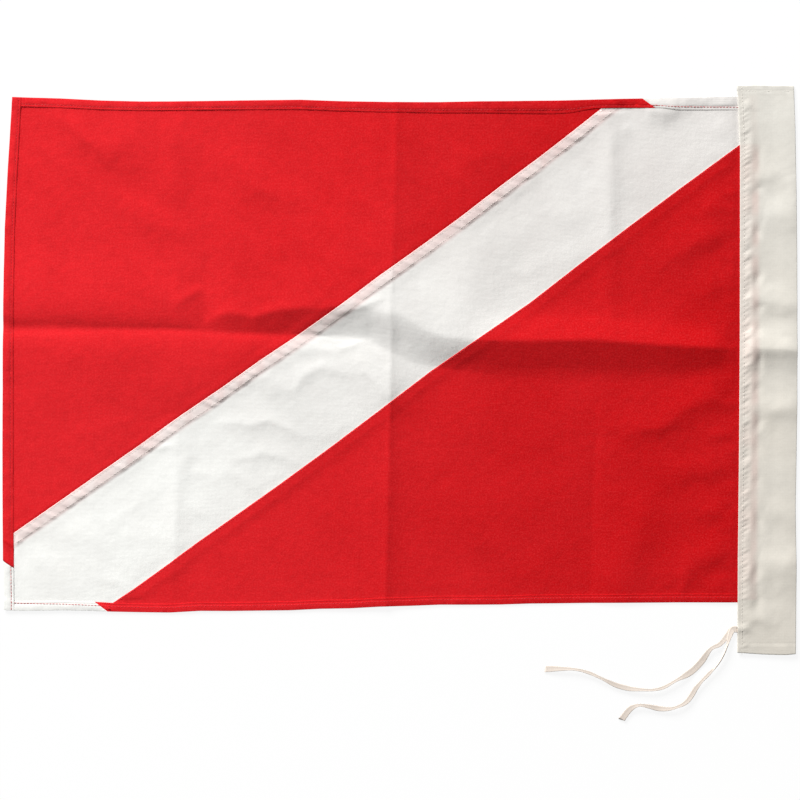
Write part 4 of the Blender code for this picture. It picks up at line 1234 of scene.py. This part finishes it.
def white_nylon():
    # The same nylon, undyed: white, painted greyer and warmer towards the sleeve as shade, thin enough for
    # the red seam allowance to tint it pink
    dye = colours()
    return woven_finish("woven white nylon", dye.white, dye.white_painted_shade, dye.white, dye.seam_pink,
                        spacing=0.0005, weave_share=0.02, rough=0.9, bump=0.3, grain=0.04, crumple_darkening=0.025)


def sleeve_canvas():
    # Unbleached cotton canvas, matt, a little yellow, with slubs and a 0.6 mm weave, painted darker towards
    # its bottom as shade
    dye = colours()
    return woven_finish("cotton canvas", dye.canvas, dye.canvas_painted_shade, dye.canvas, dye.canvas_pink,
                        spacing=0.0006, weave_share=0.015, rough=0.85, bump=0.2, grain=0.04, crumple_darkening=0.04)


def cotton_tape():
    # Woven cotton tape, matt, with its threads along the run and a fine rib across, 0.8 mm apart
    material, tree = new_finish("cotton tape")
    cloth_map, weave = thread_weave(tree, 0.0008)
    slubs = add_node(tree, "ShaderNodeTexNoise", {"Scale": 500.0, "Detail": 3.0},
                     {"Vector": cloth_map.outputs["UV"]})
    cloth = add_node(tree, "ShaderNodeMix", {"A": opaque(colours().tape), "B": opaque(colours().tape_deep)},
                     {"Factor": slubs.outputs["Fac"]}, data_type="RGBA")
    bumped = add_node(tree, "ShaderNodeBump", {"Strength": 0.15, "Distance": 0.0001},
                      {"Height": weave})
    shader = add_node(tree, "ShaderNodeBsdfPrincipled",
                      {"Roughness": 0.85, "Sheen Weight": 0.05, "Specular IOR Level": 0.2},
                      {"Base Color": cloth.outputs["Result"], "Normal": bumped.outputs["Normal"]})
    add_node(tree, "ShaderNodeOutputMaterial", links={"Surface": shader})
    return material


def sewing_thread(name, base_colour):
    # Spun polyester thread: two plies twisted, with painted shade between the plies, a soft gloss on each
    # stitch
    material, tree = new_finish(name)
    place = add_node(tree, "ShaderNodeTexCoord")
    plies = add_node(tree, "ShaderNodeTexWave", {"Scale": 700.0, "Distortion": 2.0, "Detail": 1.0},
                     {"Vector": place.outputs["Object"]}, bands_direction="DIAGONAL")
    # Painted shade: the thread darker between its plies
    between = opaque(channel * 0.75 for channel in base_colour)
    twist = add_node(tree, "ShaderNodeMix", {"A": between, "B": opaque(base_colour)},
                     {"Factor": plies.outputs["Fac"]}, data_type="RGBA")
    bumped = add_node(tree, "ShaderNodeBump", {"Strength": 0.4, "Distance": 0.0001},
                      {"Height": plies.outputs["Fac"]})
    shader = add_node(tree, "ShaderNodeBsdfPrincipled", {"Roughness": 0.5, "Specular IOR Level": 0.35},
                      {"Base Color": twist.outputs["Result"], "Normal": bumped.outputs["Normal"]})
    add_node(tree, "ShaderNodeOutputMaterial", links={"Surface": shader})
    return material


# Stitches
def stitch_tree():
    """Geometry Nodes: stitches of one length along every row, each a sunk grain of thread."""
    tree = bpy.data.node_groups.new("stitches along rows", "GeometryNodeTree")
    tree.interface.new_socket("Rows", in_out="INPUT", socket_type="NodeSocketGeometry")
    for name in ("Stitch pitch", "Thread width", "Stitch share"):
        tree.interface.new_socket(name, in_out="INPUT", socket_type="NodeSocketFloat")
    tree.interface.new_socket("Thread", in_out="INPUT", socket_type="NodeSocketMaterial")
    tree.interface.new_socket("Stitches", in_out="OUTPUT", socket_type="NodeSocketGeometry")
    given = add_node(tree, "NodeGroupInput")
    curve = add_node(tree, "GeometryNodeMeshToCurve", links={"Mesh": given.outputs["Rows"]})
    spaced = add_node(tree, "GeometryNodeResampleCurve",
                      links={"Curve": curve, "Length": given.outputs["Stitch pitch"]},
                      mode="LENGTH")
    grain = add_node(tree, "GeometryNodeMeshUVSphere", {"Segments": 6, "Rings": 5, "Radius": 0.5})
    long_way = add_node(tree, "ShaderNodeMath", links={0: given.outputs["Stitch pitch"],
                        1: given.outputs["Stitch share"]}, operation="MULTIPLY")
    turned = add_node(tree, "GeometryNodeTransform", {"Rotation": (0, math.pi / 2, 0)},
                      {"Geometry": grain})
    sizes = add_node(tree, "ShaderNodeCombineXYZ", links={
        0: long_way, 1: given.outputs["Thread width"], 2: given.outputs["Thread width"]})
    stitch = add_node(tree, "GeometryNodeTransform",
                      links={"Geometry": turned, "Scale": sizes})
    rounded = add_node(tree, "GeometryNodeSetShadeSmooth", links={"Geometry": stitch})
    run = add_node(tree, "GeometryNodeInputTangent")
    facing = add_node(tree, "FunctionNodeAlignRotationToVector", links={"Vector": run}, axis="X")
    skew = add_node(tree, "FunctionNodeRandomValue", {2: -0.10, 3: 0.10, "Seed": 7}, data_type="FLOAT")
    tilt = add_node(tree, "ShaderNodeCombineXYZ", links={2: skew.outputs[1]})
    swung = add_node(tree, "FunctionNodeRotateRotation", links={0: facing, 1: tilt},
                     rotation_space="LOCAL")
    placed = add_node(tree, "GeometryNodeInstanceOnPoints",
                      links={"Points": spaced, "Instance": rounded, "Rotation": swung})
    real = add_node(tree, "GeometryNodeRealizeInstances", links={"Geometry": placed})
    coloured = add_node(tree, "GeometryNodeSetMaterial",
                        links={"Geometry": real, "Material": given.outputs["Thread"]})
    add_node(tree, "NodeGroupOutput", links={"Stitches": coloured})
    return tree


def set_input(modifier, name, value):
    """Sets a modifier's input, found by its socket's identifier."""
    for item in modifier.node_group.interface.items_tree:
        if item.item_type == "SOCKET" and item.in_out == "INPUT" and item.name == name:
            modifier[item.identifier] = value
            return
    raise RuntimeError(f"the stitches have no input {name}")


def stitched_rows(name, rows, thread):
    """Turns rows of points into one plain mesh of stitches."""
    flag = settings()
    verts, edges = [], []
    for row in rows:
        first = len(verts)
        verts += [tuple(p) for p in row]
        edges += [(first + i, first + i + 1) for i in range(len(row) - 1)]
    mesh = bpy.data.meshes.new(name)
    mesh.from_pydata(verts, edges, [])
    piece = new_object(name, mesh)
    grow = piece.modifiers.new("stitches", "NODES")
    grow.node_group = bpy.data.node_groups.get("stitches along rows") or stitch_tree()
    for key, value in (("Stitch pitch", flag.stitch_pitch), ("Thread width", flag.thread_width),
                       ("Stitch share", STITCH_SHARE), ("Thread", thread)):
        set_input(grow, key, value)
    if not make_plain(piece).polygons:
        raise RuntimeError(f"{name} came out empty")
    return piece


def fly_row(u, v, layers, lift=-0.00004):
    """A row of stitches on the fly, with its thread's middle this much over the cloth's face."""
    x, y, z = fly_points(u, v, layers)
    return in_frame(x, y, z + settings().cloth_thickness / 2 + lift)


def row_depth(at, widths):
    """How far from the fold a hem's row runs, on the cut cloth."""
    width = settings().hem_width
    length, run, _ = fold_profile(width, 0.0)
    over_top = slice(FOLD_STEPS, FOLD_STEPS + 1 + len(HEM_ROLL))
    return np.interp(width * hem_spread(at, widths)[1], run[over_top], length[over_top])


def seam_row(distance, layers, start, end):
    """A row parallel to the diagonal seams, between two places along it."""
    angle = seam_angle()
    along = np.arange(start, end, ROW_STEP)
    u = along * math.cos(angle) - distance * math.sin(angle)
    v = settings().stripe_start + along * math.sin(angle) + distance * math.cos(angle)
    return fly_row(u, v, layers)


class DIVEFLAG_OT_camera(bpy.types.Operator):
    """Sets the camera straight above the flag, far off and with a long lens"""
    bl_idname = "dive_flag.camera"
    bl_label = "Camera"

    def execute(self, context):
        lens = bpy.data.cameras.new("camera")
        lens.lens = 100
        lens.sensor_width = 36
        lens.clip_end = 100
        camera = new_object("camera", lens)
        side = VIEW_SIDE * VIEW_PIXEL
        middle_x = SEAM_X + (VIEW_SIDE / 2 - VIEW_SEAM_PX) * VIEW_PIXEL
        middle_y = (VIEW_MIDDLE_PY - VIEW_SIDE / 2) * VIEW_PIXEL
        camera.location = (middle_x, middle_y, side * lens.lens / lens.sensor_width + CLOTH_FACE)
        context.scene.camera = camera
        return {"FINISHED"}


class DIVEFLAG_OT_tie(bpy.types.Operator):
    """Makes the tie: one flat tape, doubled in the sleeve's seam, with two loose tails"""
    bl_idname = "dive_flag.tie"
    bl_label = "Tie Tape"

    def execute(self, context):
        finish = cotton_tape()
        for name, route, start, skew, node in (
                ("tie_upper_tail", UPPER_TAIL, TAPE_SEWN_HIGH, 0.0006, "tie_tail_upper"),
                ("tie_lower_tail", LOWER_TAIL, TAPE_SEWN_LOW, -0.0009, "tie_tail_lower")):
            centres, turns = tail_centres([(TIE_EXIT[0], TIE_EXIT[1], 6)] + route, start)
            tail = add_piece(name, tape_mesh(name, centres, turns, skew), finish)
            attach(tail, "sleeve")
            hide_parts(node)
        inwards = TIE_SEWN_END - TIE_SEWN_LENGTH * np.linspace(0, 1, 9)
        middle, half = (TAPE_SEWN_HIGH + TAPE_SEWN_LOW) / 2, (TAPE_SEWN_HIGH - TAPE_SEWN_LOW) / 2
        line = [(x, TAPE_SEWN_HIGH) for x in inwards[::-1]]
        line += [(TIE_SEWN_END + half * math.sin(a), middle + half * math.cos(a))
                 for a in np.linspace(0.3, math.pi - 0.3, 5)]
        line += [(x, TAPE_SEWN_LOW) for x in inwards]
        x, z = np.array(line).T
        doubled = in_frame(x, 0 * x + TIE_EXIT[1] - 0.0002, z)
        sewn = add_piece("tie_doubled_end", folded_tape_mesh("tie_doubled_end", doubled), finish)
        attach(sewn, "sleeve")
        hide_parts("tie_sewn_end")
        return {"FINISHED"}


class DIVEFLAG_OT_fly(bpy.types.Operator):
    """Makes the three panels of the fly, hemmed, lapped and creased as they lie"""
    bl_idname = "dive_flag.fly"
    bl_label = "Fly Panels"

    def execute(self, context):
        flag = settings()
        red, white = red_nylon(), white_nylon()
        turned = [math.pi * TURN_RADIUS * share for share in (0, 0.5, 1)]
        band, width = flag.upper_band, flag.stripe_width
        upper = fly_panel("upper_red_cloth", UpperRed(), -RED_TONGUE, None,
                          [-0.004, 0, 0.0005, 0.001, 0.0016, 0.0024], ("free", "top"), red)
        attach(upper, "fly")
        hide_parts("upper_red_panel")
        band_lines = [-0.0006, -0.0012, -0.0018, -0.0028, -0.0042, -0.0056]
        band_lines += [-band + k * 0.0005 for k in range(-5, 5)]
        band_lines += [-0.0115, -0.0122, -0.0130, -0.0142, -width - HEM_SLIP]
        white_piece = fly_panel("white_stripe_cloth", WhiteStripe(), -width - WHITE_TONGUE, TURNED_UNDER,
                                turned + band_lines, ("free", "top", "bottom"), white, -width - HEM_SLIP)
        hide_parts("white_diagonal_panel", "white_sewn_edge")
        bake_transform(white_piece)
        lower_lines = [-width + d for d in turned] + [-width - HEM_SLIP + d for d in turned]
        lower_lines += [-width - 0.0005, -width - 0.001]
        lower_lines += [-width - flag.lower_band + k * 0.0005 for k in range(-4, 5)] + [-width - 0.0102]
        lower = fly_panel("lower_red_cloth", LowerRed(), None, -width + TURNED_UNDER,
                          lower_lines, ("bottom",), red)
        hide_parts("lower_red_panel", "red_sewn_edge")
        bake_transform(lower)
        return {"FINISHED"}


class DIVEFLAG_OT_sleeve(bpy.types.Operator):
    """Makes the pole sleeve: a folded strip of canvas, sewn closed at its top and open at its bottom"""
    bl_idname = "dive_flag.sleeve"
    bl_label = "Pole Sleeve"

    def execute(self, context):
        sleeve = add_piece("pole_sleeve_canvas", sleeve_mesh(), sleeve_canvas())
        thicken(sleeve, settings().canvas_thickness)
        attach(sleeve, "sleeve")
        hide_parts("pole_sleeve")
        return {"FINISHED"}


class DIVEFLAG_OT_stitches(bpy.types.Operator):
    """Sews the hems, the diagonal seams and the sleeve"""
    bl_idname = "dive_flag.stitches"
    bl_label = "Stitches"

    def execute(self, context):
        flag = settings()
        red_thread = sewing_thread("red polyester thread", colours().red_thread)
        white_thread = sewing_thread("white polyester thread", colours().white_thread)
        angle = seam_angle()
        upper_layers, white_layers, lower_layers = UpperRed(), WhiteStripe(), LowerRed()
        across = np.arange(0.0012, flag.fly_length - 0.001, ROW_STEP)
        top_v, bottom_v = flag.hoist + row_depth(across, TOP_HEM), -row_depth(across, BOTTOM_HEM)
        on_upper = from_upper_seam(across, top_v) > -RED_TONGUE
        first_white = across[~on_upper][0]
        knot = (across > first_white) & (across < first_white + 0.0035)
        on_lower = from_upper_seam(across, bottom_v) < -flag.stripe_width - HEM_SLIP
        rows = [fly_row(across[on_upper], top_v[on_upper], upper_layers),
                fly_row(across[~on_upper], top_v[~on_upper], white_layers, SEEN_LIFT),
                fly_row(across[knot], top_v[knot] - 0.0003, white_layers, 0.0003),
                fly_row(across[~on_lower], bottom_v[~on_lower], white_layers, SEEN_LIFT),
                fly_row(across[on_lower], bottom_v[on_lower], lower_layers)]
        upwards = np.arange(0.0012, flag.hoist - 0.0012, ROW_STEP)
        free_u = -row_depth(upwards, FREE_HEM)
        on_upper = from_upper_seam(free_u, upwards) > -RED_TONGUE
        rows += [fly_row(free_u[on_upper], upwards[on_upper], upper_layers),
                 fly_row(free_u[~on_upper], upwards[~on_upper], white_layers, SEEN_LIFT)]
        hems = stitched_rows("hem_stitches", rows, red_thread)
        span = flag.hoist / math.sin(angle)
        white_rows = [seam_row(-UPPER_ROW, white_layers, 0.002, span - 0.088),
                      seam_row(UPPER_ROW_FROM_EDGE - flag.upper_band, white_layers, 0.004, span - 0.086)]
        upper_rows = stitched_rows("upper_seam_stitches", white_rows, white_thread)
        low_start = (flag.stripe_width * math.cos(angle) - flag.stripe_start) / math.sin(angle)
        low_end = (flag.fly_length - flag.stripe_width * math.sin(angle)) / math.cos(angle)
        red_rows = [seam_row(-flag.stripe_width - LOWER_ROW, lower_layers, low_start + 0.006,
                             low_end - 0.002)]
        lower_rows = stitched_rows("lower_seam_stitches", red_rows, red_thread)
        for piece, slot in ((hems, "red_nylon"), (lower_rows, "red_nylon"), (upper_rows, "white_nylon")):
            if piece is upper_rows:
                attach(piece, "fly")
            else:
                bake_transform(piece)
        on_face = flag.canvas_thickness / 2 + 0.00001
        y = np.arange(0.001 - SLEEVE_BELOW_FLY, flag.hoist + 0.0072, ROW_STEP)
        x = sleeve_edges(y)[0] + SLEEVE_ROW_MM * MM
        seam = in_frame(x, y, sleeve_wall(x, y) + on_face)
        across = np.arange(1.2 * MM, 41.2 * MM, ROW_STEP)
        y = 0 * across + sleeve_top() - SLEEVE_TOP_ROW
        x = across + sleeve_edges(y)[0]
        closing = in_frame(x, y, sleeve_wall(x, y) + on_face - END_ROW_SINK)
        y = 0 * across - SLEEVE_BELOW_FLY + SLEEVE_HEM
        x = across + sleeve_edges(y)[0]
        hem = in_frame(x, y + end_rise(x, SLEEVE_HEM), sleeve_front(x, y) + on_face - END_ROW_SINK)
        sleeve_rows = stitched_rows("sleeve_stitches", [seam, closing, hem], white_thread)
        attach(sleeve_rows, "sleeve")
        return {"FINISHED"}


def seen_white(tree):
    """1 for the rays that see the background itself, which is white there, and 0 for the light's own."""
    path = add_node(tree, "ShaderNodeLightPath")
    either = add_node(tree, "ShaderNodeMath", links={0: path.outputs["Is Camera Ray"],
                      1: path.outputs["Is Glossy Ray"]}, operation="MAXIMUM")
    seen = add_node(tree, "ShaderNodeMath", links={0: either,
                    1: path.outputs["Is Transmission Ray"]}, operation="MAXIMUM")
    return seen


class DIVEFLAG_OT_stage(bpy.types.Operator):
    """Lays the pale floor and sets the soft light"""
    bl_idname = "dive_flag.stage"
    bl_label = "Stage"

    def execute(self, context):
        flag = settings()
        mesh = bpy.data.meshes.new("floor")
        corners = [(x * FLOOR_REACH, y * FLOOR_REACH, 0) for x, y in ((-1, -1), (1, -1), (1, 1), (-1, 1))]
        mesh.from_pydata(corners, [], [(0, 1, 2, 3)])
        material, tree = new_finish("pale floor")
        matt = add_node(tree, "ShaderNodeBsdfDiffuse", {"Color": (0.94, 0.94, 0.94, 1)})
        white = add_node(tree, "ShaderNodeEmission", {"Strength": 1.0})
        share = add_node(tree, "ShaderNodeMath", {1: 0.9}, {0: seen_white(tree)}, operation="MULTIPLY")
        mixed = add_node(tree, "ShaderNodeMixShader", links={0: share, 1: matt, 2: white})
        add_node(tree, "ShaderNodeOutputMaterial", links={"Surface": mixed})
        floor = new_object("floor", mesh)
        mesh.materials.append(material)
        world = bpy.data.worlds.new("even light")
        world.use_nodes = True
        sky = world.node_tree
        sky.nodes.clear()
        even = add_node(sky, "ShaderNodeMapRange", {"To Min": flag.sky_light, "To Max": 1.0},
                        {"Value": seen_white(sky)})
        lit = add_node(sky, "ShaderNodeBackground", {"Color": (1, 1, 1, 1)}, {"Strength": even})
        add_node(sky, "ShaderNodeOutputWorld", links={"Surface": lit})
        context.scene.world = world
        lamp = bpy.data.lights.new("soft key", "AREA")
        lamp.energy = flag.key_light
        lamp.size = LAMP_SIZE
        key = new_object("soft key", lamp)
        key.location = LAMP_PLACE
        key.rotation_euler = (-key.location).to_track_quat("-Z", "Y").to_euler()
        context.scene.view_settings.view_transform = "Standard"
        return {"FINISHED"}


class DIVEFLAG_PT_panel(bpy.types.Panel):
    bl_idname = "DIVEFLAG_PT_panel"
    bl_label = "Dive Flag"
    bl_space_type = "VIEW_3D"
    bl_region_type = "UI"
    bl_category = "Dive Flag"

    def draw(self, context):
        for group in (settings(), colours()):
            for name in type(group).__annotations__:
                self.layout.prop(group, name)
        for operator in OPERATORS:
            self.layout.operator(operator.bl_idname)


OPERATORS = (DIVEFLAG_OT_camera, DIVEFLAG_OT_tie, DIVEFLAG_OT_fly, DIVEFLAG_OT_sleeve, DIVEFLAG_OT_stitches,
             DIVEFLAG_OT_stage)
CLASSES = (DiveFlagColours, DiveFlagSettings) + OPERATORS + (DIVEFLAG_PT_panel,)


def register():
    for kind in CLASSES:
        bpy.utils.register_class(kind)
    bpy.types.Scene.dive_flag = bpy.props.PointerProperty(type=DiveFlagSettings)
    bpy.types.Scene.dive_flag_colours = bpy.props.PointerProperty(type=DiveFlagColours)


def unregister():
    del bpy.types.Scene.dive_flag, bpy.types.Scene.dive_flag_colours
    for kind in reversed(CLASSES):
        bpy.utils.unregister_class(kind)


def main():
    register()
    bpy.ops.dive_flag.camera()
    bpy.ops.dive_flag.tie()
    bpy.ops.dive_flag.fly()
    bpy.ops.dive_flag.sleeve()
    bpy.ops.dive_flag.stitches()
    bpy.ops.dive_flag.stage()


if __name__ == "__main__":
    main()
